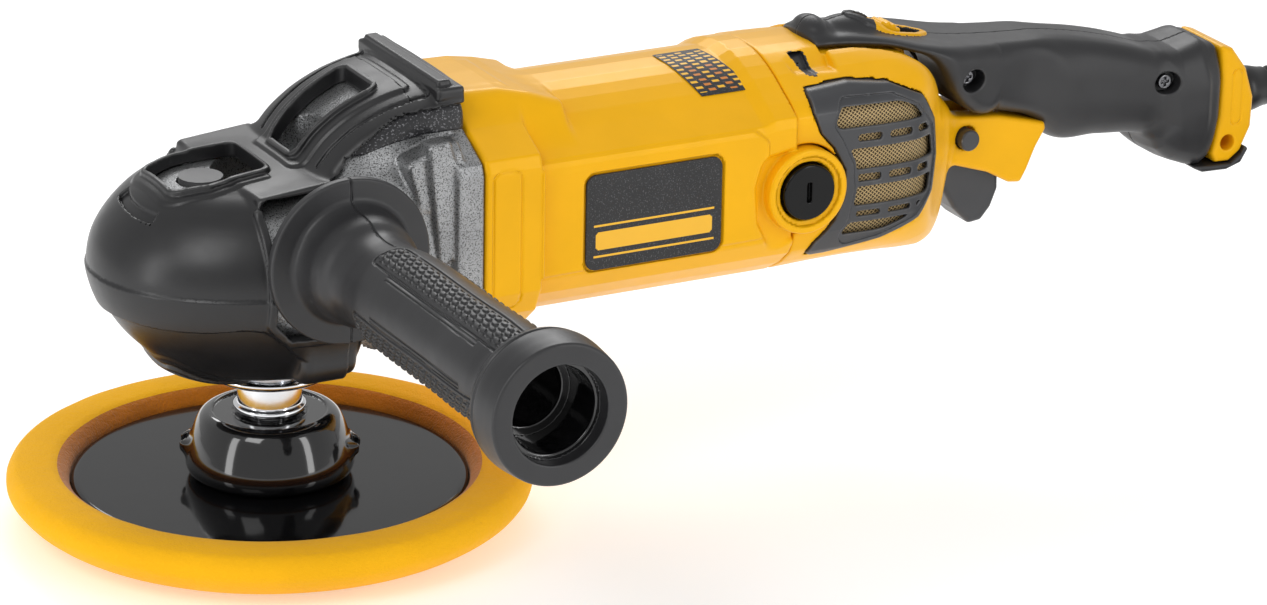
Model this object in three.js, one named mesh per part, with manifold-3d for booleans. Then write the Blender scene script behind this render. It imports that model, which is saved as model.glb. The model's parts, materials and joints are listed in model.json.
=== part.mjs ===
// Rotary polisher: bevel-gear head, motor housing, rear handle, side handle, foam pad and cord.
// Millimetres, +Z up. Origin: centre of the pad's working face. Spindle axis: Z. +X: towards the cord.
import * as THREE from 'three';
import * as BufferGeometryUtils from 'three/addons/utils/BufferGeometryUtils.js';
import Module from 'manifold-3d';

const wasm = await Module();
wasm.setup();

// ---- driving dimensions -------------------------------------------------------------------
const GAP = 0.3;
const PAD_R = 95;
const PAD_H = 21.5;
const PLATE_R = 71.5;
const PLATE_TOP = 15.5;
const HUB_TOP = 40;
const COLLAR_Z = 40.5;
const NOSE_BOTTOM = 57;
const NOSE_CENTRE_X = 5;
const NOSE_A = 72;
const NOSE_B = 55.5;
const BOOT_WALL = 3;
const MOTOR_Z = 109.2;
const MOTOR_R = 45;
const SHAFT_Z = 87;
const COLLAR_X0 = 62.3;
const COLLAR_X1 = 85;
const SEAM_X = 190;
const HANDLE_SCREWS = [[278, 131], [366.5, 117]];
const HANG_X = 397.2;
const HANG_Z = 88;
const LABEL_X = 131;
const LABEL_Z = 108.5;
const CASE_SCREWS = [[-38, 139], [38, 139], [-38, 79.5], [38, 79.5]];
const BRUSH_X = 193.5;
const BRUSH_Z = 108;
const HANDLE_X = 4;
const HANDLE_Z = 115;
const FLANGE_Y = -57;
const GRIP_LENGTH = 163;
const CORD_D = 8.5;
const CORD_EXIT_Z = 103;
const LOCK_X = -26;
const RING_TEETH = 39;
const BEVEL_TEETH = 13;
const RING_R = 30;
const GEAR_TEETH = 30;
const PINION_TEETH = 12;
const GEAR_MODULE = 1.05;

// ---- colours ------------------------------------------------------------------------------
const YELLOW = [0xf5b81c, 0.35, 0];
const BLACK = [0x1c1c1e, 0.5, 0];
const RUBBER = [0x2a2a2c, 0.65, 0];
const GREY = [0x3a3a3e, 0.5, 0];
const FOAM = [0xf2a71b, 0.95, 0];
const ALLOY = [0xb4b4b4, 0.45, 1];
const STEEL = [0xc6c8cc, 0.2, 1];
const DARKSTEEL = [0x6e7076, 0.4, 1];
const COPPER = [0xb87333, 0.35, 1];
const BRASS = [0xc9a24b, 0.35, 1];
const CARBON = [0x303030, 0.8, 0];
const MESH = [0xb59b6a, 0.6, 0.3];

// ---- solids -------------------------------------------------------------------------------
// closed solid from a three.js geometry, always facing outward
function solid(geometry) {
  let g = geometry.index ? geometry.toNonIndexed() : geometry.clone();
  g.deleteAttribute('normal');
  g.deleteAttribute('uv');
  g = BufferGeometryUtils.mergeVertices(g, 1e-4);
  const p = g.attributes.position.array;
  const tri = Array.from(g.index.array);
  const keep = [];
  let volume = 0;
  for (let i = 0; i < tri.length; i += 3) {
    const [a, b, c] = [tri[i], tri[i + 1], tri[i + 2]];
    if (a === b || b === c || a === c) continue;
    keep.push(a, b, c);
    const A = new THREE.Vector3(p[3 * a], p[3 * a + 1], p[3 * a + 2]);
    const B = new THREE.Vector3(p[3 * b], p[3 * b + 1], p[3 * b + 2]);
    const C = new THREE.Vector3(p[3 * c], p[3 * c + 1], p[3 * c + 2]);
    volume += A.dot(B.cross(C));
  }
  if (volume < 0) {
    for (let i = 0; i < keep.length; i += 3) {
      [keep[i], keep[i + 1]] = [keep[i + 1], keep[i]];
    }
  }
  const mesh = new wasm.Mesh({ numProp: 3, vertProperties: new Float32Array(p),
    triVerts: new Uint32Array(keep) });
  return new wasm.Manifold(mesh);
}

const union = (list) => list.slice(1).reduce((a, b) => a.add(b), list[0]);

function box(x0, x1, y0, y1, z0, z1) {
  const g = new THREE.BoxGeometry(x1 - x0, y1 - y0, z1 - z0);
  g.translate((x0 + x1) / 2, (y0 + y1) / 2, (z0 + z1) / 2);
  return solid(g);
}

// turned part: profile of [radius, height] pairs; axis 'x', 'y' or 'z' through the point at
function lathe(profile, axis = 'z', at = [0, 0, 0], segments = 32) {
  const points = profile.map(([r, h]) => new THREE.Vector2(r, h));
  const g = new THREE.LatheGeometry(points, segments);
  if (axis === 'z') g.rotateX(Math.PI / 2);
  if (axis === 'x') g.rotateZ(-Math.PI / 2);
  g.translate(at[0], at[1], at[2]);
  return solid(g);
}

function rod(r, h0, h1, axis, at, segments = 24) {
  return lathe([[0, h0], [r, h0], [r, h1], [0, h1]], axis, at, segments);
}

function ring(r0, r1, h0, h1, axis, at, segments = 24) {
  return lathe([[r0, h0], [r1, h0], [r1, h1], [r0, h1], [r0, h0]], axis, at, segments);
}

function shapeOf(points) {
  return new THREE.Shape(points.map(([u, v]) => new THREE.Vector2(u, v)));
}

// smooth closed outline through a few points
function smooth(points, divisions = 36) {
  const curve = new THREE.CatmullRomCurve3(points.map(([u, v]) => new THREE.Vector3(u, v, 0)),
    true, 'centripetal');
  return shapeOf(curve.getPoints(divisions).slice(0, -1).map((p) => [p.x, p.y]));
}

// rounded rectangle centred on (u, v)
function roundRect(u, v, w, h, r) {
  const s = new THREE.Shape();
  s.moveTo(u - w / 2 + r, v - h / 2);
  s.lineTo(u + w / 2 - r, v - h / 2);
  s.absarc(u + w / 2 - r, v - h / 2 + r, r, -Math.PI / 2, 0, false);
  s.lineTo(u + w / 2, v + h / 2 - r);
  s.absarc(u + w / 2 - r, v + h / 2 - r, r, 0, Math.PI / 2, false);
  s.lineTo(u - w / 2 + r, v + h / 2);
  s.absarc(u - w / 2 + r, v + h / 2 - r, r, Math.PI / 2, Math.PI, false);
  s.lineTo(u - w / 2, v - h / 2 + r);
  s.absarc(u - w / 2 + r, v - h / 2 + r, r, Math.PI, 1.5 * Math.PI, false);
  return s;
}

const BASIS = {
  x: [[0, 1, 0], [0, 0, 1], [1, 0, 0]],
  y: [[1, 0, 0], [0, 0, 1], [0, -1, 0]],
  z: [[1, 0, 0], [0, 1, 0], [0, 0, 1]],
};

// outline pushed along an axis from a to b; bevel rounds both ends
function extrude(shape, axis, a, b, bevel = 0, segments = 2, curveSegments = 5) {
  const flip = axis === 'y';
  const [lo, hi] = flip ? [-b, -a] : [a, b];
  const g = new THREE.ExtrudeGeometry(shape, {
    depth: hi - lo - 2 * bevel,
    bevelEnabled: bevel > 0,
    bevelThickness: bevel,
    bevelSize: bevel,
    bevelOffset: -bevel,
    bevelSegments: segments,
    curveSegments,
  });
  g.translate(0, 0, lo + bevel);
  const [ex, ey, ez] = BASIS[axis].map((v) => new THREE.Vector3(...v));
  g.applyMatrix4(new THREE.Matrix4().makeBasis(ex, ey, ez));
  return solid(g);
}

const mirrorY = (m) => m.mirror([0, 1, 0]);

// the biggest body, leaving cut-off slivers behind
const main = (m) => m.decompose().sort((a, b) => b.volume() - a.volume())[0];

// ---- assembly -----------------------------------------------------------------------------
const polisher = new THREE.Group();
polisher.name = 'rotary_polisher';

function add(name, manifold, [color, roughness, metalness]) {
  const m = manifold.simplify(0.04).getMesh();
  const g = new THREE.BufferGeometry();
  g.setAttribute('position', new THREE.BufferAttribute(new Float32Array(m.vertProperties), 3));
  g.setIndex(new THREE.BufferAttribute(new Uint32Array(m.triVerts), 1));
  g.computeVertexNormals();
  const mesh = new THREE.Mesh(g, new THREE.MeshStandardMaterial({ color, roughness, metalness }));
  mesh.name = name;
  polisher.add(mesh);
}

function addPair(name, manifold, finish) {
  add(`${name}_right`, manifold, finish);
  add(`${name}_left`, mirrorY(manifold), finish);
}

// ---- pad, plate, hub and spindle ----------------------------------------------------------
function foamPad() {
  const arc = (r0, z0, radius, a0, a1, n) => Array.from({ length: n + 1 }, (_, i) => {
    const a = a0 + ((a1 - a0) * i) / n;
    return [r0 + radius * Math.cos(a), z0 + radius * Math.sin(a)];
  });
  return lathe([
    [0, 0],
    ...arc(PAD_R - 12, 12, 12, -Math.PI / 2, 0, 4),
    ...arc(PAD_R - 7, PAD_H - 7, 7, 0.3, Math.PI / 2, 3),
    [PLATE_R + 6, PAD_H - 1.2],
    [PLATE_R + 1.2, PLATE_TOP + 1],
    [PLATE_R + 0.6, 9.6],
    [0, 9.6],
  ], 'z', [0, 0, 0], 40);
}

function backingPlate() {
  return lathe([
    [0, 11.4],
    [PLATE_R, 11.4],
    [PLATE_R, PLATE_TOP - 1],
    [PLATE_R - 1.4, PLATE_TOP],
    [0, PLATE_TOP],
  ], 'z', [0, 0, 0], 48);
}

function hub() {
  const body = lathe([
    [9, 19.5], [9, HUB_TOP], [21.5, HUB_TOP], [25, HUB_TOP - 1.6], [27, HUB_TOP - 5],
    [30.2, 23], [30.3, 20], [28.5, 18.2], [25.5, 15.8], [16, 15.8], [16, 19.5], [9, 19.5],
  ], 'z', [0, 0, 0], 24);
  const ear = extrude(roundRect(0, 0, 67, 13, 6), 'z', 24, 28.5, 0, 1, 4).rotate([0, 0, -28]);
  return body.add(ear.subtract(rod(20, 20, 32, 'z', [0, 0, 0], 16)));
}

function hubNut() {
  const hexagon = Array.from({ length: 6 }, (_, i) => {
    const a = (i * Math.PI) / 3;
    return [14 * Math.cos(a), 14 * Math.sin(a)];
  });
  const bolt = rod(8.2, 10, 30, 'z', [0, 0, 0]);
  return extrude(shapeOf(hexagon), 'z', 15.8, 19.2).subtract(bolt);
}

function spindle() {
  return lathe([
    [0, 20], [7.6, 20], [8, 21], [8, COLLAR_Z - 0.2], [13, COLLAR_Z - 0.2], [13, COLLAR_Z + 2],
    [11.6, COLLAR_Z + 2.6], [11.6, 56.4], [10, 56.6], [10, 68.1], [9, 68.3], [9, 108], [6, 108.4],
    [6, 119], [5, 120], [0, 120],
  ], 'z', [0, 0, 0], 20);
}

// ---- gears --------------------------------------------------------------------------------
// trapezoid teeth on a root circle; phase turns the first tooth
function gearShape(teeth, pitch, add_, ded, phase, thick) {
  const points = [];
  for (let i = 0; i < teeth; i += 1) {
    const a = phase + (i * 2 * Math.PI) / teeth;
    const step = (2 * Math.PI) / teeth;
    const put = (r, k) => points.push([r * Math.cos(a + k * step), r * Math.sin(a + k * step)]);
    put(pitch - ded, -thick * 0.68);
    put(pitch + add_, -thick * 0.26);
    put(pitch + add_, thick * 0.26);
    put(pitch - ded, thick * 0.68);
  }
  return shapeOf(points);
}

// straight bevel pinion: teeth shrink towards the crossing point of the two axes
function bevelPinion() {
  const pitch = (RING_R * BEVEL_TEETH) / RING_TEETH;
  const g = new THREE.ExtrudeGeometry(
    gearShape(BEVEL_TEETH, pitch, 1.35, 1.9, Math.PI / 2, 0.4),
    { depth: 10, bevelEnabled: false },
  );
  g.translate(0, 0, RING_R - 10);
  const p = g.attributes.position;
  for (let i = 0; i < p.count; i += 1) {
    const s = p.getZ(i) / RING_R;
    p.setXYZ(i, p.getX(i) * s, p.getY(i) * s, p.getZ(i));
  }
  const [ex, ey, ez] = BASIS.x.map((v) => new THREE.Vector3(...v));
  g.applyMatrix4(new THREE.Matrix4().makeBasis(ex, ey, ez));
  g.translate(0, 0, SHAFT_Z);
  return solid(g).subtract(rod(3.8, 10, 40, 'x', [0, 0, SHAFT_Z], 20));
}

// crown wheel: dished blank with radial teeth standing on its top face
function ringGear() {
  const drop = (RING_R * BEVEL_TEETH) / RING_TEETH;
  const cone = (r, extra) => SHAFT_Z - (drop * r) / RING_R - (extra * r) / RING_R;
  const blank = lathe([
    [9.4, 70.3], [27, 70.3], [RING_R, 73], [RING_R, cone(RING_R, 1.75)], [20, cone(20, 1.75)],
    [14, 77.5], [9.4, 77.5], [9.4, 70.3],
  ], 'z', [0, 0, 0], 39);
  const half = (Math.PI * RING_R * 0.4) / RING_TEETH;
  const tooth = shapeOf([[-half * 1.36, -1.95], [half * 1.36, -1.95], [half * 0.5, 1.25],
    [-half * 0.5, 1.25]]);
  const g = new THREE.ExtrudeGeometry(tooth, { depth: 9.8, bevelEnabled: false });
  g.translate(0, -drop, 20.1);
  const p = g.attributes.position;
  for (let i = 0; i < p.count; i += 1) {
    const s = p.getZ(i) / RING_R;
    p.setXYZ(i, p.getX(i) * s, p.getY(i) * s, p.getZ(i));
  }
  const [ex, ey, ez] = BASIS.x.map((v) => new THREE.Vector3(...v));
  g.applyMatrix4(new THREE.Matrix4().makeBasis(ex, ey, ez));
  g.translate(0, 0, SHAFT_Z);
  const one = solid(g);
  let all = blank;
  for (let i = 0; i < RING_TEETH; i += 1) {
    all = all.add(one.rotate([0, 0, (i * 360) / RING_TEETH]));
  }
  return all;
}

function spurGear() {
  const r = (GEAR_MODULE * GEAR_TEETH) / 2;
  const shape = gearShape(GEAR_TEETH, r, 0.9, 1.3, Math.PI / 2, 0.42);
  const gear = extrude(shape, 'x', 46, 53).translate([0, 0, SHAFT_Z]);
  return gear.subtract(rod(6.3, 40, 60, 'x', [0, 0, SHAFT_Z]));
}

function shaft() {
  return lathe([
    [0, 20.5], [3.5, 20.5], [3.5, 30.3], [5, 30.4], [5, 44.5], [6, 44.6], [6, 55], [4, 55.2], [4, 66],
    [0, 66],
  ], 'x', [0, 0, SHAFT_Z], 16);
}

// ---- motor --------------------------------------------------------------------------------
function armatureShaft() {
  const r = (GEAR_MODULE * PINION_TEETH) / 2;
  const teeth = gearShape(PINION_TEETH, r, 0.9, 1.25, Math.PI / 2 + Math.PI / PINION_TEETH, 0.42);
  const pinion = extrude(teeth, 'x', 45, 54).translate([0, 0, MOTOR_Z]);
  const body = lathe([
    [0, 53.5], [4.7, 53.5], [4.7, 70], [6, 70.2], [6, 203.5], [4, 203.7], [4, 219], [0, 219],
  ], 'x', [0, 0, MOTOR_Z], 16);
  return pinion.add(body);
}

function armatureCore() {
  return lathe([
    [6.3, 90], [15, 90], [20, 94], [20, 100], [24, 100.5], [24, 160], [20, 160.5], [20, 168],
    [14, 174], [6.3, 174], [6.3, 90],
  ], 'x', [0, 0, MOTOR_Z], 20);
}

function fan() {
  const disc = ring(6.3, 35, 82, 84, 'x', [0, 0, MOTOR_Z], 24);
  const hubRing = ring(6.3, 11, 72, 82.5, 'x', [0, 0, MOTOR_Z], 12);
  let all = disc.add(hubRing);
  const blades = 7;
  for (let i = 0; i < blades; i += 1) {
    const blade = box(74, 82.5, -0.8, 0.8, 14, 34);
    all = all.add(blade.rotate([(i * 360) / blades, 0, 0]).translate([0, 0, MOTOR_Z]));
  }
  return all;
}

function stator() {
  const outer = ring(24.8, 38, 102, 158, 'x', [0, 0, MOTOR_Z], 28);
  const slots = [-1, 1].map((s) => box(100, 160, s > 0 ? 23 : -33, s > 0 ? 33 : -23, MOTOR_Z - 9,
    MOTOR_Z + 9));
  return outer.subtract(union(slots));
}

function endBracket() {
  const disc = ring(11.3, 37.4, 210.8, 216.6, 'x', [0, 0, MOTOR_Z], 28);
  const holes = [0, 1, 2, 3].map((i) => rod(7, 200, 220, 'x', [0, 24, 0], 8).rotate([i * 90 + 45, 0, 0]));
  return disc.subtract(union(holes).translate([0, 0, MOTOR_Z]));
}

function brush() {
  return box(BRUSH_X - 4, BRUSH_X + 4, -34, -14.2, BRUSH_Z - 5, BRUSH_Z + 5);
}

function brushCap() {
  const cap = lathe([[0, 35], [8, 35], [8, 42.5], [10.6, 42.6], [10.6, 47], [9.8, 47.8], [0, 47.8]],
    'y', [0, 0, 0], 20).rotate([180, 0, 0]);
  const slot = box(-1, 1, -50, -46.2, -7, 7);
  return cap.subtract(slot).translate([BRUSH_X, 0, BRUSH_Z]);
}

// ---- housings -----------------------------------------------------------------------------
// nose bowl with the sloped neck behind it; inset shrinks the whole body
function head(inset, segments = 24, steps = 7) {
  const curve = new THREE.SplineCurve([
    [0.45, NOSE_BOTTOM], [0.62, 65], [0.81, 75.5], [0.93, 86], [1, 101], [0.96, 112], [0.83, 122],
    [0.62, 131], [0.42, 135.5],
  ].map(([r, z]) => new THREE.Vector2(r, z)));
  const profile = curve.getPoints(steps).map((p) => [Math.max(p.x * NOSE_A - inset, 4), p.y]);
  profile.unshift([0, NOSE_BOTTOM]);
  profile.push([0, 136]);
  const squeeze = (z) => Math.min(Math.max(z, NOSE_BOTTOM + inset), 136 - inset);
  const bowl = lathe(profile.map(([r, z]) => [r, squeeze(z)]), 'z', [0, 0, 0], segments);
  const ratio = (NOSE_B - inset) / (NOSE_A - inset);
  const nose = bowl.scale([1, ratio, 1]).translate([NOSE_CENTRE_X, 0, 0]);
  const front = nose.intersect(box(-90, 34, -80, 80, 0, 200));
  const side = shapeOf([
    [-22, 70], [10, NOSE_BOTTOM + 3 + inset], [62, 66 + inset], [62, 163 - inset], [52, 163 - inset],
    [36, 160.5 - inset], [20, 156 - inset], [8, 149.5 - inset], [-3 + inset, 140 - inset], [-22, 128],
  ]);
  const wide = 48 - inset;
  const section = shapeOf([
    [-wide + 6, 62], [wide - 6, 62], [wide, 72], [wide, 132], [wide - 6, 148 - inset],
    [31 - inset / 2, 160 - inset],
    [20, 164 - inset], [-20, 164 - inset], [-31 + inset / 2, 160 - inset], [-wide + 6, 148 - inset],
    [-wide, 132], [-wide, 72],
  ]);
  const rear = extrude(side, 'y', -60, 60).intersect(extrude(section, 'x', -30, 70));
  return front.add(rear);
}

function gearCase() {
  const body = head(BOOT_WALL + GAP + 0.15);
  const flange = extrude(roundRect(0, MOTOR_Z, 96, 92, 22), 'x', 51, 62, 0, 1, 3);
  const bosses = rod(17, -53, 53, 'y', [HANDLE_X, 0, HANDLE_Z], 20);
  const shell = union([body, flange, bosses]);
  const lockBoss = rod(11.5, 116, 130, 'z', [LOCK_X, 0, 0], 20);
  const chamber = head(BOOT_WALL + 4.5, 16, 4).intersect(box(-90, 33, -80, 80, 60, 200));
  const rearChamber = union([
    rod(24, 44, 70, 'x', [0, 0, SHAFT_Z + 6], 20),
    rod(40.4, 56.5, 70, 'x', [0, 0, MOTOR_Z], 28),
    rod(16, 44, 70, 'x', [0, 0, MOTOR_Z + 12], 16),
  ]);
  const bores = union([
    rod(12.3, 20, 50, 'x', [0, 0, SHAFT_Z], 20),
    rod(20.3, 40, 70, 'z', [0, 0, 0], 20),
  ]);
  const webTop = rod(14, 122.5, 134, 'z', [0, 0, 0], 20).subtract(rod(11.3, 100, 129, 'z', [0, 0, 0], 20));
  const webNeck = ring(11.3, 14, 108.6, 124, 'z', [0, 0, 0], 20);
  const carrier = box(-10.5, 10.5, 11.6, 60, 109.4, 119.4).intersect(head(BOOT_WALL + 1, 16, 4));
  const web = union([webNeck, webTop, carrier, mirrorY(carrier), lockBoss]);
  const pockets = union(CASE_SCREWS.flatMap(([y, z]) => [
    rod(5.2, 38, 51.2, 'x', [0, y, z], 12),
    box(38, 51.2, y > 0 ? y : -60, y > 0 ? 60 : y, z - 5.2, z + 5.2),
    rod(2.5, 50, 70, 'x', [0, y, z], 10),
  ]));
  const lockHole = rod(4.6, 80, 140, 'z', [LOCK_X, 0, 0], 12);
  const pocket = rod(8.4, 121, 150, 'z', [LOCK_X, 0, 0], 20);
  const socket = rod(5, 24, 70, 'y', [HANDLE_X, 0, HANDLE_Z], 12);
  return shell.subtract(union([chamber, rearChamber, bores, pockets])).add(web)
    .subtract(union([lockHole, pocket, socket, mirrorY(socket)]));
}

function lockButton() {
  const at = [LOCK_X, 0, 0];
  return rod(4.2, 92, 127, 'z', at, 12).add(rod(8, 126.4, 132, 'z', at, 20));
}

function boot() {
  const shell = head(0, 28, 8).subtract(head(BOOT_WALL));
  const noseWindow = extrude(roundRect(-22, 0, 38, 34, 9), 'z', 120, 150);
  const topWindow = extrude(roundRect(19, 0, 33, 25, 6), 'z', 130, 175);
  const sideCut = extrude(shapeOf([
    [-21, 143], [-21, 90], [-12, 84], [17, 84], [17, 40], [80, 40], [80, 149], [44, 151], [20, 147],
    [4, 143],
  ]), 'y', -80, -26);
  const rearOpen = box(16, 80, -80, 80, 40, 90);
  const rearFace = box(40, 80, -40, 40, 60, 154);
  const bottomHole = rod(23.5, 40, 70, 'z', [0, 0, 0], 32);
  const bar = extrude(roundRect(54, 162.6, 6, 5, 2), 'y', -30, 30, 0.8, 1, 3);
  const cuts = union([noseWindow, topWindow, sideCut, mirrorY(sideCut), rearOpen, rearFace, bottomHole]);
  const flange = extrude(roundRect(0, MOTOR_Z, 96.8, 92.8, 22), 'x', 50.6, 63, 0, 1, 3);
  const bosses = rod(17.4, -60, 60, 'y', [HANDLE_X, 0, HANDLE_Z], 20);
  return shell.subtract(union([cuts, flange, bosses])).add(bar.subtract(head(BOOT_WALL)));
}

function bearingRetainer() {
  return lathe([
    [12.2, 53.6], [20, 53.6], [23, 55.6], [23, 56.6], [20, 56.6], [20, 62], [17, 62], [17, 57.4],
    [12.2, 57.4], [12.2, 53.6],
  ], 'z', [0, 0, 0], 20);
}

function gearPlate() {
  const disc = rod(40, 57, 66, 'x', [0, 0, MOTOR_Z], 24);
  const seats = union([
    rod(13.3, 58.5, 80, 'x', [0, 0, MOTOR_Z], 16),
    rod(8, 50, 80, 'x', [0, 0, MOTOR_Z], 12),
    rod(8.3, 50, 64, 'x', [0, 0, SHAFT_Z], 16),
  ]);
  return disc.subtract(seats).subtract(rod(4.4, 50, 80, 'x', [0, 0, SHAFT_Z], 16));
}

function motorHousing() {
  const collar = extrude(roundRect(0, MOTOR_Z, 97, 93, 24), 'x', COLLAR_X0, COLLAR_X1, 1.2, 1, 4);
  const tube = extrude(roundRect(0, MOTOR_Z, 2 * MOTOR_R - 1, 2 * MOTOR_R, 27),
    'x', 80, SEAM_X - 0.15, 0, 1, 4);
  const boss = rod(16.5, -47, 47, 'y', [BRUSH_X, 0, BRUSH_Z], 24)
    .subtract(rod(34, 150, 250, 'x', [0, 0, MOTOR_Z], 24));
  const bore = union([
    rod(41, 60, 99, 'x', [0, 0, MOTOR_Z], 28),
    rod(38.6, 98, 162, 'x', [0, 0, MOTOR_Z], 28),
    rod(40, 161, 191, 'x', [0, 0, MOTOR_Z], 28),
  ]);
  const bossBore = union([
    rod(11.1, -60, -42.3, 'y', [BRUSH_X, 0, BRUSH_Z], 24),
    rod(8.4, -60, -20, 'y', [BRUSH_X, 0, BRUSH_Z], 20),
  ]);
  const body = collar.add(tube).subtract(bore);
  return body.add(boss).subtract(bossBore.add(mirrorY(bossBore)));
}

// rear housing envelope: side outline crossed with the plan outline
function rearBody(inset) {
  const side = shapeOf([
    [SEAM_X - 5, 64.5 + inset], [225, 67 + inset], [250, 67 + inset], [262, 71 + inset],
    [270 - inset, 80], [275 - inset, 96],
    [277 - inset, 116], [268 - inset, 126], [262 - inset, 138], [248, 147 - inset],
    [230, 152.5 - inset], [SEAM_X - 5, 154.5 - inset],
  ]);
  const plan = shapeOf([
    [SEAM_X - 5, -44.5 + inset], [225, -43.5 + inset], [243, -39 + inset], [258 - inset, -31],
    [268 - inset, -20], [277 - inset, -15],
    [277 - inset, 15], [268 - inset, 20], [258 - inset, 31], [243, 39 - inset], [225, 43.5 - inset],
    [SEAM_X - 5, 44.5 - inset],
  ]);
  const round = roundRect(0, MOTOR_Z, 2 * MOTOR_R - 1 - 2 * inset, 2 * MOTOR_R + 2 - 2 * inset, 27);
  const across = extrude(round, 'x', SEAM_X - 10, 290, 0, 1, 4);
  const upright = extrude(plan, 'z', 50, 170);
  return extrude(side, 'y', -60, 60).intersect(upright).intersect(across);
}

function beak(inset, lower) {
  return extrude(shapeOf([
    [262, 116], [294, 112.5], [315 - inset, 107.5], [310.5 - inset, 98], [307 - inset, 90],
    [304 - inset, 84.5 + lower],
    [290, 90 + lower], [276, 95 + lower], [262, 97 + lower],
  ]), 'y', -15 + inset, 15 - inset, inset ? 0 : 3, 2);
}

const VENT = [[200, 141], [232, 141], [246, 136], [255, 124], [257, 108], [252, 92], [243, 84],
  [204, 80], [197, 84], [196, 110], [196, 137]];

// outline of the side vent, notched round the brush boss
function ventPrism(grow) {
  const shape = smooth(VENT.map(([x, z]) => {
    const [dx, dz] = [x - 226, z - 110];
    const l = Math.hypot(dx, dz);
    return [x + (grow * dx) / l, z + (grow * dz) / l];
  }), 30);
  return extrude(shape, 'y', -60, -12).subtract(rod(19.6 - grow, -70, -5, 'y', [BRUSH_X, 0, BRUSH_Z], 24));
}

const HANDLE_OUT = [
  [214, 151], [218, 158.5], [227, 157.5], [238, 153], [256, 149], [280, 143], [302, 141.5],
  [324, 139.5], [350, 133],
  [372, 126.4], [379, 127.6], [386, 129], [391.4, 127.6], [392.6, 113], [392.4, 100], [389.8, 83.5],
  [386, 79], [380, 80.2],
  [371, 84.6], [364, 90], [361.6, 95.5], [340, 97], [320, 98.5],
];

const GRIP_FRONT = [[319, 109], [294, 114.5], [279, 118], [270, 129], [264, 140], [249, 149], [230, 151]];
const GRIP_PLAN = [[200, 15], [232, 17], [262, 24], [276, 23], [300, 18.5], [340, 18], [366, 18],
  [376, 18.5], [394, 17]];

// grip envelope: side outline crossed with the plan outline and rounded sections
function gripBody(inset) {
  const slab = extrude(shapeOf([...HANDLE_OUT, ...GRIP_FRONT]), 'y', -30, 30);
  const half = GRIP_PLAN.map(([x, y]) => [x, y - inset]);
  const plan = extrude(shapeOf([...half.map(([x, y]) => [x, -y]), ...half.reverse()]), 'z', 60, 170);
  const front = extrude(roundRect(0, 130 - inset, 50, 59, 18), 'x', 200, 288, 0, 1, 4);
  const middle = extrude(roundRect(0, 0, 38 - 2 * inset, 43, 16), 'x', -20, 90, 0, 1, 4);
  const end = extrude(roundRect(0, 104, 38 - 2 * inset, 54, 14), 'x', 376, 400, 0, 1, 4);
  const sections = union([front, middle.rotate([0, 7.5, 0]).translate([300, 0, 120]), end]);
  return slab.intersect(plan).intersect(sections);
}

function grip() {
  const hollow = extrude(shapeOf([[276, 138], [318, 135], [346, 129], [369, 121.5], [379, 119],
    [381, 95], [368, 99.5],
    [342, 102], [322, 104], [318, 114], [284, 121]]), 'y', -14, 14);
  const cordHole = rod(6.4, 376, 420, 'x', [0, 0, CORD_EXIT_Z], 20);
  const dialSlot = box(232, 262, -5, 5, 130, 170);
  return gripBody(0).subtract(union([hollow, cordHole, dialSlot]));
}

function gripHalf() {
  return grip().intersect(box(150, 420, -40, -0.15, 40, 200))
    .subtract(union(HANDLE_SCREWS.flatMap(([x, z]) => [
      rod(3.4, -40, -13.5, 'y', [x, 0, z], 16),
      rod(2.1, -40, -5, 'y', [x, 0, z], 10),
    ])));
}

function rearHousing() {
  const body = rearBody(0).intersect(box(SEAM_X + 0.15, 300, -60, 60, 40, 170));
  const inner = rearBody(3).intersect(box(SEAM_X - 8, 270, -60, 60, 40, 170));
  const bossCut = rod(16.8, -60, 60, 'y', [BRUSH_X, 0, BRUSH_Z], 28);
  const shell = body.subtract(inner);
  const vents = ventPrism(0.4);
  const lip = beak(0, 0);
  const slot = union([
    beak(1.8, -8),
    box(262, 275, -10.8, 10.8, 84, 112),
    rod(4.4, -30, -10, 'y', [279, 0, 106.5], 16),
  ]);
  const clear = grip().add(box(214, 262, -5, 5, 120, 170));
  const wide = extrude(shapeOf([...HANDLE_OUT.map(([x, z]) => [x, z + 12]), [319, 108.7],
    [294, 114.2], [279, 117.6],
    [269.7, 128.7], [263.7, 139.7], [248.8, 148.7], [230, 150.7], [213.5, 150.6]]), 'y', -40, 40);
  return union([shell, lip]).subtract(union([bossCut, vents, mirrorY(vents), slot, wide, clear]));
}

function ventCover() {
  const skin = rearBody(-1.4).subtract(rearBody(1.6)).intersect(ventPrism(0));
  const bands = [];
  [[130, 7], [115.5, 6.5], [101.5, 6.5], [89.5, 5]].forEach(([z, h]) => {
    bands.push(box(214, 251, -60, -20, z - h / 2, z + h / 2));
  });
  return skin.subtract(union(bands));
}

function ventMesh() {
  return rearBody(1.9).subtract(rearBody(2.9)).intersect(ventPrism(-0.6));
}

function label() {
  const plate = extrude(roundRect(LABEL_X, LABEL_Z, 55, 36, 4), 'y', -46.2, -44.9, 0, 1, 3);
  return plate;
}

// ---- handle hardware ----------------------------------------------------------------------
function endStrip() {
  const outline = shapeOf([[392.6, 127.4], [398, 125.6], [404.5, 117], [408.4, 105], [408, 93],
    [403.6, 84], [398.6, 80.2],
    [392.4, 80.4], [391, 84], [393.2, 100], [393.3, 114]]);
  const body = extrude(outline, 'y', -15.5, 15.5, 3, 2);
  const hole = rod(6.4, 380, 430, 'x', [0, 0, CORD_EXIT_Z], 20);
  return body.subtract(hole).subtract(rod(3, -30, 30, 'y', [HANG_X, 0, HANG_Z], 16));
}

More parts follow.
